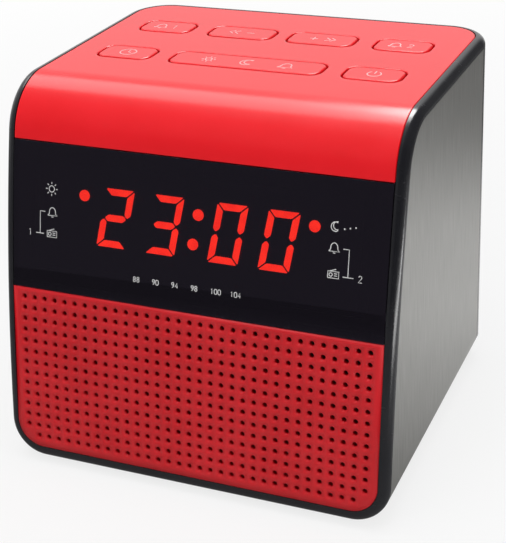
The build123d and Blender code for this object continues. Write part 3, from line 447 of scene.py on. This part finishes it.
def piece_from(bm, name, material, body="root", crease=40):
    """Makes a finished object of a mesh, shaded softly up to a crease."""
    for face in bm.faces:
        face.smooth = True
    mesh = bpy.data.meshes.new(name)
    bm.to_mesh(mesh)
    bm.free()
    mesh.set_sharp_from_angle(angle=math.radians(crease))
    mesh.materials.append(material)
    piece = bpy.data.objects.new(name, mesh)
    bpy.context.collection.objects.link(piece)
    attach(piece, body)
    return piece


def face_outwards(bm, outward):
    """Turns a sheet so that its largest face looks outwards."""
    bmesh.ops.recalc_face_normals(bm, faces=bm.faces)
    if max(bm.faces, key=lambda f: f.calc_area()).normal.dot(outward) < 0:
        bmesh.ops.reverse_faces(bm, faces=bm.faces)


def thicken(piece, thickness, rim=0.0):
    """Gives a sheet its wall, a small rounded rim, and flat shading on its flat faces."""
    wall = piece.modifiers.new("wall", "SOLIDIFY")
    wall.thickness = thickness
    wall.offset = -1
    if rim:
        edge = piece.modifiers.new("rim", "BEVEL")
        edge.width = rim
        edge.segments = 3
        edge.limit_method = "ANGLE"
        edge.angle_limit = math.radians(50)
    even = piece.modifiers.new("even", "WEIGHTED_NORMAL")
    even.weight = 100
    even.keep_sharp = True


def top_cover():
    """The flat top with its openings, spun down over the crown and on to the window."""
    bm = bmesh.new()
    flat_front = CROWN_Y + FLAT_EDGE
    edges = []
    both = []
    for inset in (0, RIM_ROW):
        both += rounded_outline(
            bm,
            (inset - HALF_WIDTH, flat_front + inset),
            (HALF_WIDTH - inset, BACK_Y - BAND - FIT_GAP - inset),
            REAR_CORNER - inset,
            14,
            lambda co: co.y > 0,
        )
        edges = both[len(edges):]
    bmesh.ops.bridge_loops(bm, edges=both)
    for key in KEYS:
        both = []
        for grow in (OPENING_GAP, OPENING_GAP + RIM_ROW):
            low, high = key_outline(key, grow)
            around = rounded_outline(bm, low, high, KEY_CORNER + grow, 8)
            both += around
        bmesh.ops.bridge_loops(bm, edges=both)
        edges += around
    bmesh.ops.triangle_fill(bm, edges=edges, use_dissolve=False, use_beauty=True)
    bmesh.ops.translate(bm, verts=bm.verts, vec=(0, 0, TOP_Z))
    front = [e for e in bm.edges if all(abs(v.co.y - flat_front) < 1e-6 for v in e.verts)]
    geom = front + list({v for e in front for v in e.verts})
    geom = bmesh.ops.spin(
        bm,
        geom=geom,
        cent=(0, 0, 0),
        axis=(1, 0, 0),
        dvec=(0, -FLAT_EDGE, 0),
        angle=0,
        steps=1,
    )["geom_last"]
    for centre_y, centre_z, start, end, steps in (
        (CROWN_Y, CROWN_Z, math.pi / 2, CROWN_LEAN, 28),
        (ARC_Y, ARC_Z, CROWN_LEAN, lean_at(WINDOW_TOP + FIT_GAP), 6),
    ):
        geom = bmesh.ops.spin(
            bm,
            geom=geom,
            cent=(0, centre_y, centre_z),
            axis=(1, 0, 0),
            angle=start - end,
            steps=steps,
        )["geom_last"]
    face_outwards(bm, Vector((0, 0, 1)))
    cover = piece_from(bm, "top_cover_skin", RED_GLOSS)
    thicken(cover, PANEL_T, COVER_RIM)
    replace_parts(cover, "top_cover")


top_cover()

# ---- Keys -----------------------------------------------------------------------------------
# Seven hollow push keys, moulded in the same red and held under the cover by a flange. Their
# upper edges are softly rounded, and pale marks are printed on them.
KEY_RISE = 0.12 * MM      # above the cover
KEY_SKIRT = 3 * MM        # depth of its walls
KEY_WALL = 1.2 * MM
KEY_EDGE = 0.6 * MM
PRINT_T = 0.02 * MM
KEY_PEN = 0.28            # width of a printed stroke, in millimetres
PALE_INK = moulded("pale_ink", (0.82, 0.42, 0.44), (0.88, 0.5, 0.52), gloss=(0.35, 0.45))


def push_key(key):
    """One key cap: walls and a rounded top, open underneath."""
    low, high = key_outline(key)
    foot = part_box(key)[1].z - KEY_SKIRT
    top = TOP_Z + KEY_RISE
    bm = bmesh.new()
    outline = rounded_outline(bm, low, high, KEY_CORNER, 8)
    bmesh.ops.translate(bm, verts=bm.verts, vec=(0, 0, foot))
    raised = bmesh.ops.extrude_edge_only(bm, edges=outline)["geom"]
    verts = [g for g in raised if isinstance(g, bmesh.types.BMVert)]
    bmesh.ops.translate(bm, verts=verts, vec=(0, 0, top - foot))
    rim = [g for g in raised if isinstance(g, bmesh.types.BMEdge)]
    rim = [e for e in rim if all(v in set(verts) for v in e.verts)]
    bmesh.ops.contextual_create(bm, geom=rim)
    bmesh.ops.bevel(
        bm,
        geom=rim,
        offset=KEY_EDGE,
        offset_type="OFFSET",
        segments=5,
        profile=0.5,
        affect="EDGES",
        material=-1,
    )
    face_outwards(bm, Vector((0, 0, 1)))
    cap = piece_from(bm, key + "_cap", RED_GLOSS, key + "_body")
    thicken(cap, KEY_WALL)
    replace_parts(cap, key)


for key in KEYS:
    push_key(key)


def ring(radius, start=0.0, turn=360.0, steps=20, x=0.0, y=0.0):
    """A stroke round part of a circle."""
    turns = [math.radians(start + turn * step / steps) for step in range(steps + 1)]
    return [(x + radius * math.cos(a), y + radius * math.sin(a)) for a in turns]


# A mark is a list of strokes in millimetres about its own middle, drawn with one round pen.
BELL = [
    [(-1.3, -0.8), (-0.9, -0.4), (-0.8, 0.5), (-0.45, 1.0), (0, 1.15)],
    [(0, 1.15), (0.45, 1.0), (0.8, 0.5), (0.9, -0.4), (1.3, -0.8), (-1.3, -0.8)],
    [(-0.3, -1.15), (0.3, -1.15)],
]
MOON = [ring(1.1, 60, 250), ring(0.95, 75, 215, x=0.42, y=0.25)]
SUN = [ring(0.55, steps=12)] + [
    [(0.85 * math.cos(a), 0.85 * math.sin(a)), (1.2 * math.cos(a), 1.2 * math.sin(a))]
    for a in [math.radians(45 * step) for step in range(8)]
]
CLOCK = [ring(1.25), [(0, 0.8), (0, 0), (0.55, -0.3)]]
POWER = [ring(1.0, 125, 290), [(0, 0.1), (0, 1.25)]]
DOWN = [[(0.5, 0.9), (-0.5, 0), (0.5, -0.9)]]
UP = [[(-0.5, 0.9), (0.5, 0), (-0.5, -0.9)]]
MINUS = [[(-0.7, 0), (0.7, 0)]]
PLUS = MINUS + [[(0, -0.7), (0, 0.7)]]
FIGURES = {
    "0": [ring(0.45, steps=12, y=0.35)[:7] + ring(0.45, 180, 180, 6, y=-0.35) + [(0.45, 0.35)]],
    "1": [[(-0.3, 0.5), (0, 0.8), (0, -0.8)]],
    "2": [[(-0.4, 0.5), (-0.1, 0.8), (0.3, 0.7), (0.4, 0.3), (-0.45, -0.8), (0.45, -0.8)]],
    "4": [[(0.2, -0.8), (0.2, 0.8), (-0.45, -0.35), (0.45, -0.35)]],
    "6": [ring(0.4, steps=12, y=-0.4), [(-0.4, -0.4), (-0.3, 0.3), (0.2, 0.8)]],
    "8": [ring(0.36, steps=12, y=0.42), ring(0.4, steps=12, y=-0.4)],
    "9": [ring(0.4, steps=12, y=0.4), [(0.4, 0.4), (0.3, -0.3), (-0.2, -0.8)]],
}

# What is printed on each key: marks with their place on it and their size.
KEY_MARKS = {
    "key_alarm_1": [(BELL, -2.1, 0, 1.5), (FIGURES["1"], 2.1, 0, 1.6)],
    "key_tune_down": [(DOWN, -3.2, 0, 1.4), (DOWN, -1.7, 0, 1.4), (MINUS, 2.4, 0, 1.6)],
    "key_tune_up": [(PLUS, -2.4, 0, 1.6), (UP, 1.7, 0, 1.4), (UP, 3.2, 0, 1.4)],
    "key_alarm_2": [(BELL, -2.1, 0, 1.5), (FIGURES["2"], 2.1, 0, 1.6)],
    "key_clock_set": [(CLOCK, 0, 0, 1.8)],
    "key_snooze": [(SUN, -11, 0, 1.7), (MOON, 0, 0, 1.7), (BELL, 11, 0, 1.6)],
    "key_power": [(POWER, 0, 0, 1.8)],
}


def printed(name, marks, pen, lay, material, body):
    """Draws several marks, each at its place and size, as one thin print."""
    curve = bpy.data.curves.new(name, "CURVE")
    curve.dimensions = "3D"
    curve.bevel_depth = pen / 2
    curve.bevel_resolution = 1
    curve.use_fill_caps = True
    for strokes, x, y, scale in marks:
        for stroke in strokes:
            line = curve.splines.new("POLY")
            line.points.add(len(stroke) - 1)
            for point, (dx, dy) in zip(line.points, stroke):
                point.co = (x + dx * scale, y + dy * scale, 0, 1)
    drawing = bpy.data.objects.new(name, curve)
    flat = bpy.data.meshes.new_from_object(drawing)
    bpy.data.objects.remove(drawing)
    bm = bmesh.new()
    bm.from_mesh(flat)
    bpy.data.meshes.remove(flat)
    bmesh.ops.scale(bm, verts=bm.verts, vec=(MM, MM, PRINT_T / pen))
    lay(bm)
    return piece_from(bm, name, material, body)


def print_on_key(key):
    """Prints a key's marks on its face."""
    low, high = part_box(key)
    middle = ((low.x + high.x) / 2, (low.y + high.y) / 2, TOP_Z + KEY_RISE + PRINT_T / 2)

    def lay(bm):
        bmesh.ops.translate(bm, verts=bm.verts, vec=middle)

    printed(key + "_mark", KEY_MARKS[key], KEY_PEN, lay, PALE_INK, key + "_body")


for key in KEYS:
    print_on_key(key)

# ---- Display window -------------------------------------------------------------------------
# A curved lens of dark smoked acrylic, polished on both faces, over the lit display. White
# marks are printed on it: what each lamp stands for, and a row of station numbers.
WINDOW_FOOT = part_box("display_window")[0].z
WINDOW_RIM = 0.15 * MM
WINDOW_PEN = 0.22         # width of a printed stroke, in millimetres
WHITE_INK = moulded("white_ink", (0.62, 0.62, 0.62), (0.7, 0.7, 0.7), gloss=(0.35, 0.45))
SMOKED = moulded(
    "smoked_lens",
    (0.10, 0.085, 0.10),
    (0.112, 0.096, 0.112),
    grain=(2500, 0.004),
    gloss=(0.0, 0.015),
    scratches=0.02,
    Transmission_Weight=1.0,
    IOR=1.58,
    Specular_Tint=(0.8, 0.68, 1.0, 1),
)


def front_y(z):
    """Where the front face is at a height."""
    return ARC_Y - ARC_RADIUS * math.cos(lean_at(z))


def lay_on_front(bm):
    """Bends a drawing over the front: X across, Z up, and -Y out of the face."""
    for v in bm.verts:
        lean = lean_at(v.co.z)
        rise = -v.co.y
        v.co.y = front_y(v.co.z) - rise * math.cos(lean)
        v.co.z += rise * math.sin(lean)


def display_window():
    """The lens: an edge along its foot, spun up the arc."""
    bm = bmesh.new()
    ends = [bm.verts.new((x, front_y(WINDOW_FOOT), WINDOW_FOOT)) for x in (-HALF_WIDTH, HALF_WIDTH)]
    bmesh.ops.spin(
        bm,
        geom=[*ends, bm.edges.new(ends)],
        cent=(0, ARC_Y, ARC_Z),
        axis=(1, 0, 0),
        angle=lean_at(WINDOW_FOOT) - lean_at(WINDOW_TOP),
        steps=16,
    )
    face_outwards(bm, Vector((0, -1, 0)))
    window = piece_from(bm, "window_lens", SMOKED)
    thicken(window, PANEL_T, WINDOW_RIM)
    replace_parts(window, "display_window")


def lay_on_window(bm):
    """Turns a flat print upright and lays it on the window."""
    upright = Matrix.Rotation(math.pi / 2, 3, "X")
    bmesh.ops.rotate(bm, verts=bm.verts, cent=(0, 0, 0), matrix=upright)
    bmesh.ops.translate(bm, verts=bm.verts, vec=(0, -PRINT_T / 2, 0))
    lay_on_front(bm)


display_window()
RADIO = [
    [(-1.4, -0.9), (1.4, -0.9), (1.4, 0.7), (-1.4, 0.7), (-1.4, -0.9)],
    ring(0.42, x=-0.65, y=-0.1, steps=12),
    [(0.2, 0.2), (1.0, 0.2)],
    [(0.2, -0.3), (1.0, -0.3)],
    [(-1.0, 0.7), (0.7, 1.3)],
]
DOT = [ring(0.12, steps=6)]
DIAL_ROW = ("88", "90", "94", "98", "100", "104")
DIAL_START = -15.5        # all in millimetres, as the places of the marks are
DIAL_HEIGHT = 56.4
DIAL_STEP = 5.4
FIGURE_SIZE = 0.8

# Marks with their place across and up the front, and their size. Each pair of a bell and a
# radio set is joined by a bracket to its alarm's number.
WINDOW_MARKS = [
    (SUN, -39.8, 76.3, 1.45),
    (BELL, -39.5, 70.4, 1.05),
    (RADIO, -39.6, 64.9, 1.0),
    (FIGURES["1"], -46.0, 64.7, 1.0),
    ([[(-44.3, 64.7), (-42.0, 64.7)], [(-41.6, 70.4), (-43.1, 70.4), (-43.1, 64.7)]], 0, 0, 1),
    (MOON, 37.5, 76.3, 1.0),
    (DOT, 39.8, 76.0, 1.0),
    (DOT, 41.2, 76.3, 1.0),
    (DOT, 42.6, 76.6, 1.0),
    (BELL, 37.5, 71.3, 1.05),
    (RADIO, 37.6, 65.0, 1.0),
    (FIGURES["2"], 44.4, 64.7, 1.0),
    ([[(42.7, 64.7), (40.0, 64.7)], [(39.8, 71.3), (41.3, 71.3), (41.3, 64.7)]], 0, 0, 1),
]
for place, number in enumerate(DIAL_ROW):
    for step, figure in enumerate(number):
        across = DIAL_START + DIAL_STEP * place + step
        WINDOW_MARKS.append((FIGURES[figure], across, DIAL_HEIGHT, FIGURE_SIZE))
printed(
    "window_marks", WINDOW_MARKS, WINDOW_PEN, lay_on_window, WHITE_INK, "root"
)


# ---- Lit display ----------------------------------------------------------------------------
# Bars and round lamps of a light-emitting display, on the face of a matt black block. The bars
# that are off stay nearly as dark as the block.
def glowing(name, dark, light, strength):
    """A lit diffuser, a little uneven in its glow."""
    material = bpy.data.materials.new(name)
    material.use_nodes = True
    tree = material.node_tree
    shader = tree.nodes["Principled BSDF"]
    shader.inputs["Roughness"].default_value = 0.5
    shader.inputs["Emission Strength"].default_value = strength
    cloud = add(tree, "TexNoise", Scale=400.0, Detail=2.0)
    wire(tree, add(tree, "TexCoord"), "Object", cloud, "Vector")
    tone = two_tone(tree, cloud, "Fac", dark, light)
    wire(tree, tone, 0, shader, "Base Color")
    wire(tree, tone, 0, shader, "Emission Color")
    return material


LED_RED = glowing("led_red", (0.9, 0.022, 0.008), (1.0, 0.03, 0.01), 9.5)
LED_DARK = moulded("led_dark", (0.006, 0.004, 0.005), (0.009, 0.006, 0.007), gloss=(0.5, 0.6))
MATT_BLACK = moulded("matt_black", (0.005, 0.005, 0.006), (0.009, 0.009, 0.01), gloss=(0.6, 0.7))
finish(MATT_BLACK, "display_module")
DIGIT_HEIGHT = 15.2 * MM
DIGIT_WIDTH = 8.2 * MM
DIGIT_LEAN = math.tan(math.radians(9))
DIGIT_X = (-22.4 * MM, -8.6 * MM, 8.7 * MM, 22.3 * MM)
DISPLAY_SHIFT = 0.5 * MM  # of all figures to the right
DISPLAY_RISE = 1.1 * MM   # of all figures up the face
MODULE_GAP = 0.35 * MM    # between the window and the block
BAR = 1.7 * MM
BAR_T = 0.2 * MM
BAR_GAP = 0.27 * MM       # left at each end of a bar
BAR_CORNER = 0.35 * MM
LAMP_RADIUS = 1.45 * MM
LAMP_DROP = 2.7 * MM      # from the top of the figures
LAMP_FROM_DIGIT = 9 * MM

# Each bar's place, in half widths and quarter heights of a figure, its turn in degrees, and
# the ends at which it is pointed.
BARS = {
    "a": (0, 2, 0, ()),
    "b": (1, 1, -90, (1,)),
    "c": (1, -1, -90, (-1,)),
    "d": (0, -2, 180, ()),
    "e": (-1, -1, 90, (1,)),
    "f": (-1, 1, 90, (-1,)),
    "g": (0, 0, 0, (-1, 1)),
}
SHOWN = "2300"
LIT_BARS = {"0": "abcdef", "2": "abged", "3": "abgcd"}


def join(bm, part):
    """Adds a part to a mesh in the making."""
    drawn = bpy.data.meshes.new("part")
    part.to_mesh(drawn)
    part.free()
    bm.from_mesh(drawn)
    bpy.data.meshes.remove(drawn)


def bar(bm, letter, shift):
    """One bar of a figure: mitred at the figure's corners, pointed where it ends halfway."""
    x, y, turn, points = BARS[letter]
    across = (DIGIT_WIDTH - BAR) / 2
    rise = (DIGIT_HEIGHT - BAR) / 4
    half = rise if x else across
    flat = bmesh.new()
    bmesh.ops.create_grid(
        flat,
        x_segments=1,
        y_segments=1,
        size=1,
        matrix=Matrix.Diagonal((half + BAR / 2, BAR / 2, 1, 1)),
    )
    for end in (-1, 1):
        for side in (-1, 1) if end in points else (-1,):
            bmesh.ops.bisect_plane(
                flat,
                geom=flat.verts[:] + flat.edges[:] + flat.faces[:],
                plane_co=(end * (half - BAR_GAP), 0, 0),
                plane_no=(end, side, 0),
                clear_outer=True,
            )
    bmesh.ops.bevel(
        flat,
        geom=flat.verts[:],
        offset=BAR_CORNER,
        offset_type="OFFSET",
        segments=3,
        profile=0.5,
        affect="VERTICES",
        material=-1,
    )
    place = Matrix.Translation((across * x, rise * y, 0))
    place @= Matrix.Rotation(math.radians(turn), 4, "Z")
    bmesh.ops.transform(flat, matrix=place, verts=flat.verts)
    for v in flat.verts:
        v.co.x += shift + DIGIT_LEAN * v.co.y
    join(bm, flat)


def on_display(bm, name, material, slot, *stands_for):
    """Lays a flat drawing on the face of the display and gives it its thickness."""
    low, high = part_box("lit_segments")
    middle = (low.z + high.z) / 2
    lean = lean_at(middle)
    outward = Vector((0, -math.cos(lean), math.sin(lean)))
    up = Vector((0, math.sin(lean), math.cos(lean)))
    depth = PANEL_T + MODULE_GAP - BAR_T
    face = Vector((DISPLAY_SHIFT, front_y(middle), middle)) - outward * depth + up * DISPLAY_RISE
    bmesh.ops.recalc_face_normals(bm, faces=bm.faces)
    for part in bm.faces:
        if part.normal.z < 0:
            part.normal_flip()
    turn = Matrix((Vector((1, 0, 0)), up, outward)).transposed().to_4x4()
    bmesh.ops.transform(bm, matrix=Matrix.Translation(face) @ turn, verts=bm.verts)
    piece = piece_from(bm, name, material)
    thicken(piece, BAR_T)
    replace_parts(piece, *stands_for)


def display_figures(lit):
    """All bars of the time that are lit, or all that are off."""
    bm = bmesh.new()
    for shift, figure in zip(DIGIT_X, SHOWN):
        for letter in BARS:
            if (letter in LIT_BARS[figure]) == lit:
                bar(bm, letter, shift)
    if lit:
        on_display(bm, "figures_lit", LED_RED, "led_red", "lit_segments")
    else:
        on_display(bm, "figures_dark", LED_DARK, "led_dark", "dark_segments")


def round_lamps():
    """The colon and the two lamps beside the figures."""
    bm = bmesh.new()
    rise = DIGIT_HEIGHT / 4
    beside = DIGIT_HEIGHT / 2 - LAMP_DROP
    for x, y in (
        (DIGIT_LEAN * rise, rise),
        (-DIGIT_LEAN * rise, -rise),
        (DIGIT_X[0] - LAMP_FROM_DIGIT, beside),
        (DIGIT_X[-1] + LAMP_FROM_DIGIT, beside),
    ):
        bmesh.ops.create_circle(
            bm, cap_ends=True, radius=LAMP_RADIUS, segments=32, matrix=Matrix.Translation((x, y, 0))
        )
    on_display(bm, "lamps_lit", LED_RED, "led_red", "indicator_lamps")


display_figures(True)
display_figures(False)
round_lamps()

# ---- Speaker grille -------------------------------------------------------------------------
# A satin red panel with rows of small round holes. It is made of one pierced cell, repeated
# along and up, with a plain margin out to its rounded lower corners.
BOTTOM_BAND = 3.5 * MM    # bare edge of the case below the panel
CASE_LOWER_CORNER = 10 * MM
LOWER_CORNER = CASE_LOWER_CORNER - BAND - FIT_GAP
HOLE_PITCH = 3 * MM
HOLE_RADIUS = 0.7 * MM
HOLE_COLUMNS = 33
HOLE_ROWS = 14
LOWEST_HOLES = 6.8 * MM   # above the foot of the case
MERGE = 0.02 * MM
RED_SATIN = moulded(
    "red_satin",
    (0.58, 0.003, 0.009),
    (0.64, 0.005, 0.012),
    grain=(1800, 0.2),
    gloss=(0.36, 0.44),
)


def pierced_cell(bm, x, z):
    """A square of sheet, one pitch wide, with a round hole in its middle."""
    bmesh.ops.create_circle(bm, cap_ends=False, radius=HOLE_RADIUS, segments=12)
    square = bmesh.ops.create_grid(bm, x_segments=3, y_segments=3, size=HOLE_PITCH / 2)["verts"]
    inner = [v for v in square if max(abs(v.co.x), abs(v.co.y)) < HOLE_PITCH / 3]
    bmesh.ops.delete(bm, geom=inner, context="VERTS")
    bmesh.ops.bridge_loops(bm, edges=bm.edges)
    turn = Matrix.Rotation(math.pi / 2, 3, "X")
    bmesh.ops.rotate(bm, verts=bm.verts, cent=(0, 0, 0), matrix=turn)
    bmesh.ops.translate(bm, verts=bm.verts, vec=(x, 0, z))


def speaker_grille():
    """The perforated panel."""
    bm = bmesh.new()
    side = (HOLE_COLUMNS - 1) / 2 * HOLE_PITCH
    lowest = BASE_Z + LOWEST_HOLES
    pierced_cell(bm, -side, lowest)
    for step, count in (((HOLE_PITCH, 0, 0), HOLE_COLUMNS), ((0, 0, HOLE_PITCH), HOLE_ROWS)):
        bmesh.ops.spin(
            bm,
            geom=bm.verts[:] + bm.edges[:] + bm.faces[:],
            cent=(0, 0, 0),
            axis=(0, 1, 0),
            dvec=step,
            angle=0,
            steps=count - 1,
            use_duplicate=True,
        )
    bmesh.ops.remove_doubles(bm, verts=bm.verts, dist=MERGE)
    corners = [
        v
        for v in bm.verts
        if abs(v.co.x) > side - 0.4 * HOLE_PITCH and v.co.z < lowest + 0.4 * HOLE_PITCH
    ]
    bmesh.ops.delete(bm, geom=corners, context="VERTS")
    field = [e for e in bm.edges if e.is_boundary and e.calc_length() > HOLE_PITCH / 4]
    known = set(bm.verts)
    outline = rounded_outline(
        bm,
        (-HALF_WIDTH, BASE_Z + BOTTOM_BAND + FIT_GAP),
        (HALF_WIDTH, WINDOW_FOOT - FIT_GAP),
        LOWER_CORNER,
        10,
        lambda co: co.y < lowest,
    )
    for v in set(bm.verts) - known:
        v.co = (v.co.x, 0, v.co.y)
    bmesh.ops.triangle_fill(bm, edges=field + outline, use_dissolve=False, use_beauty=True)
    lay_on_front(bm)
    face_outwards(bm, Vector((0, -1, 0)))
    grille = piece_from(bm, "grille_skin", RED_SATIN)
    thicken(grille, PANEL_T)
    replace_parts(grille, "speaker_grille")


speaker_grille()

# ---- Case screws ----------------------------------------------------------------------------
# Four long zinc-plated screws with a cross recess, deep in their wells in the rear cover. They
# hold the two halves of the case together.
SCREW_X = 39.5 * MM
SCREW_Z = (11.5 * MM, 81.6 * MM)
RECESS_HALF = 1.05 * MM
RECESS_DEPTH = 1.1 * MM
RECESS_TAPER = 0.6
ZINC = moulded("steel", (0.42, 0.42, 0.41), (0.55, 0.55, 0.54), gloss=(0.28, 0.4), Metallic=1.0)

# Radius and height of a screw's outline from its tip up to the edge of the recess.
SCREW = (
    (0, -19.6), (0.9, -19.6), (1.5, -18.2), (1.5, -2.2),
    (2.8, -2.2), (2.8, -0.6), (2.65, -0.25), (2.3, 0), (1.7, 0),
)


def turned(profile, steps=32):
    """Turns a profile of radius and height, in millimetres, round its axis."""
    part = bmesh.new()
    points = [part.verts.new((radius * MM, 0, height * MM)) for radius, height in profile]
    edges = [part.edges.new(pair) for pair in zip(points, points[1:])]
    bmesh.ops.spin(
        part,
        geom=points + edges,
        cent=(0, 0, 0),
        axis=(0, 0, 1),
        angle=2 * math.pi,
        steps=steps,
        use_merge=True,
    )
    bmesh.ops.remove_doubles(part, verts=part.verts, dist=1e-6)
    return part


def cross_recess(part):
    """Closes a screw's head round a cross-shaped recess that narrows downwards."""
    head = [e for e in part.edges if e.is_boundary]
    grid = bmesh.ops.create_grid(part, x_segments=3, y_segments=3, size=RECESS_HALF)["verts"]
    corners = [v for v in grid if min(abs(v.co.x), abs(v.co.y)) > 0.9 * RECESS_HALF]
    bmesh.ops.delete(part, geom=corners, context="VERTS")
    floor = [v for v in grid if v.is_valid]
    rim = list({e for v in floor for e in v.link_edges if e.is_boundary})
    walls = bmesh.ops.extrude_edge_only(part, edges=rim)["geom"]
    outline = [g for g in walls if isinstance(g, bmesh.types.BMEdge) and g.is_boundary]
    bmesh.ops.scale(part, verts=floor, vec=(RECESS_TAPER, RECESS_TAPER, 1))
    bmesh.ops.translate(part, verts=floor, vec=(0, 0, -RECESS_DEPTH))
    bmesh.ops.triangle_fill(part, edges=head + outline, use_dissolve=False, use_beauty=True)


def put(bm, part, place, turn, axis):
    """Turns a part, moves it to its place and adds it to a mesh."""
    move = Matrix.Translation(place) @ Matrix.Rotation(math.radians(turn), 4, axis)
    bmesh.ops.transform(part, matrix=move, verts=part.verts)
    bmesh.ops.recalc_face_normals(part, faces=part.faces)
    join(bm, part)


def case_screws():
    """The four screws, their heads to the back."""
    bm = bmesh.new()
    for x in (-SCREW_X, SCREW_X):
        for z in SCREW_Z:
            part = turned(SCREW)
            cross_recess(part)
            put(bm, part, (x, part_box("case_screws")[1].y, z), -90, "X")
    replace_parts(piece_from(bm, "recessed_screws", ZINC), "case_screws")


case_screws()

# ---- Feet and bushing -----------------------------------------------------------------------
# Four tapered rubber feet are glued under the case. A rubber bushing lines the hole in the
# rear cover that the mains cord comes through.
RUBBER = moulded(
    "rubber_black", (0.014, 0.014, 0.014), (0.02, 0.02, 0.02), (1500, 0.5), gloss=(0.6, 0.75)
)
FOOT_X = (-38 * MM, 38 * MM)
FOOT_Y = (-40.5 * MM, 31.18 * MM)
FOOT = ((0, 0), (3.6, 0), (3.85, 0.08), (4.02, 0.3), (4.5, 1.5), (0, 1.5))
BUSHING = (
    (3.1, 0.3), (3.3, 0), (5, 0), (5, 1.5), (4, 1.5), (4, 3.35), (3.85, 3.6), (3.6, 3.7),
    (3.4, 3.65), (3.1, 3.3), (3.1, 0.3),
)


def feet_and_bushing():
    """The rubber pieces."""
    bm = bmesh.new()
    for x in FOOT_X:
        for y in FOOT_Y:
            put(bm, turned(FOOT), (x, y, 0), 0, "Z")
    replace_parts(piece_from(bm, "round_feet", RUBBER), "rubber_feet")
    bm = bmesh.new()
    low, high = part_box("cord_gland")
    put(bm, turned(BUSHING), ((low.x + high.x) / 2, low.y, (low.z + high.z) / 2), -90, "X")
    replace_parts(piece_from(bm, "cord_bushing", RUBBER), "cord_gland")


feet_and_bushing()

# ---- Backup cells ---------------------------------------------------------------------------
# Two small cells behind the battery door keep the clock going. Each is a steel can in a shrunk
# plastic sleeve, and they lie side by side, one turned end for end.
CELL_RADIUS = 5.25 * MM
CELL_CAN = ((0, 0.15), (4.3, 0.15), (4.6, 0.4), (4.6, 43.6), (1.9, 43.7), (1.8, 44.4), (0, 44.5))
CELL_SLEEVE = (
    (4.4, 0.1), (4.9, 0), (5.2, 0.3), (5.25, 43.2), (4.95, 43.65), (4.3, 43.7),
    (4.3, 43.62), (4.9, 43.55), (5.15, 43.15), (5.1, 0.35), (4.85, 0.12), (4.4, 0.18), (4.4, 0.1),
)


def backup_cells():
    """Both cells: their cans and their sleeves."""
    cans = bmesh.new()
    sleeves = bmesh.new()
    low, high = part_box("backup_cells")
    for side, y in ((-1, low.y + CELL_RADIUS), (1, high.y - CELL_RADIUS)):
        start = (low.x if side > 0 else high.x, y, (low.z + high.z) / 2)
        put(cans, turned(CELL_CAN), start, side * 90, "Y")
        put(sleeves, turned(CELL_SLEEVE), start, side * 90, "Y")
    piece_from(cans, "cell_cans", ZINC)
    blue = moulded("cell_sleeve", (0.03, 0.07, 0.18), (0.05, 0.09, 0.22))
    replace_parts(piece_from(sleeves, "cell_sleeves", blue), "backup_cells")


backup_cells()

# ---- Behind the grille ----------------------------------------------------------------------
# The speaker with its paper cone and pressed basket, the laminate boards with their cans, chips
# and capacitors, and the transformer. Only their edges show, through the vents and the holes.
PAPER_CONE = moulded("paper_cone", (0.015, 0.015, 0.018), (0.03, 0.03, 0.034), gloss=(0.7, 0.85))
finish(PAPER_CONE, "speaker_cone", "speaker_dust_cap")
finish(ZINC, "speaker_basket", "tuner_cans", "board_screws")
finish(
    moulded("ferrite", (0.04, 0.04, 0.045), (0.06, 0.06, 0.065), gloss=(0.6, 0.75)),
    "speaker_magnet",
)
LAMINATE = moulded("circuit_board", (0.015, 0.10, 0.035), (0.03, 0.15, 0.055), grain=(900, 0.4))
finish(LAMINATE, "key_board", "display_board", "main_board")
finish(MATT_BLACK, "circuit_chips")
finish(
    moulded("capacitor_sleeve", (0.015, 0.02, 0.06), (0.025, 0.035, 0.08)),
    "filter_capacitors",
)
finish(
    moulded("core_steel", (0.15, 0.15, 0.17), (0.25, 0.25, 0.27), grain=(1200, 0.4), Metallic=1.0),
    "transformer_core",
)
finish(
    moulded("winding_tape", (0.66, 0.45, 0.06), (0.74, 0.52, 0.08), gloss=(0.4, 0.5)),
    "transformer_winding",
)
SWITCH_BLACK = moulded("switch_black", (0.015, 0.015, 0.015), (0.025, 0.025, 0.025))
finish(SWITCH_BLACK, "tact_switches", *[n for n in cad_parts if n.startswith("plunger_")])
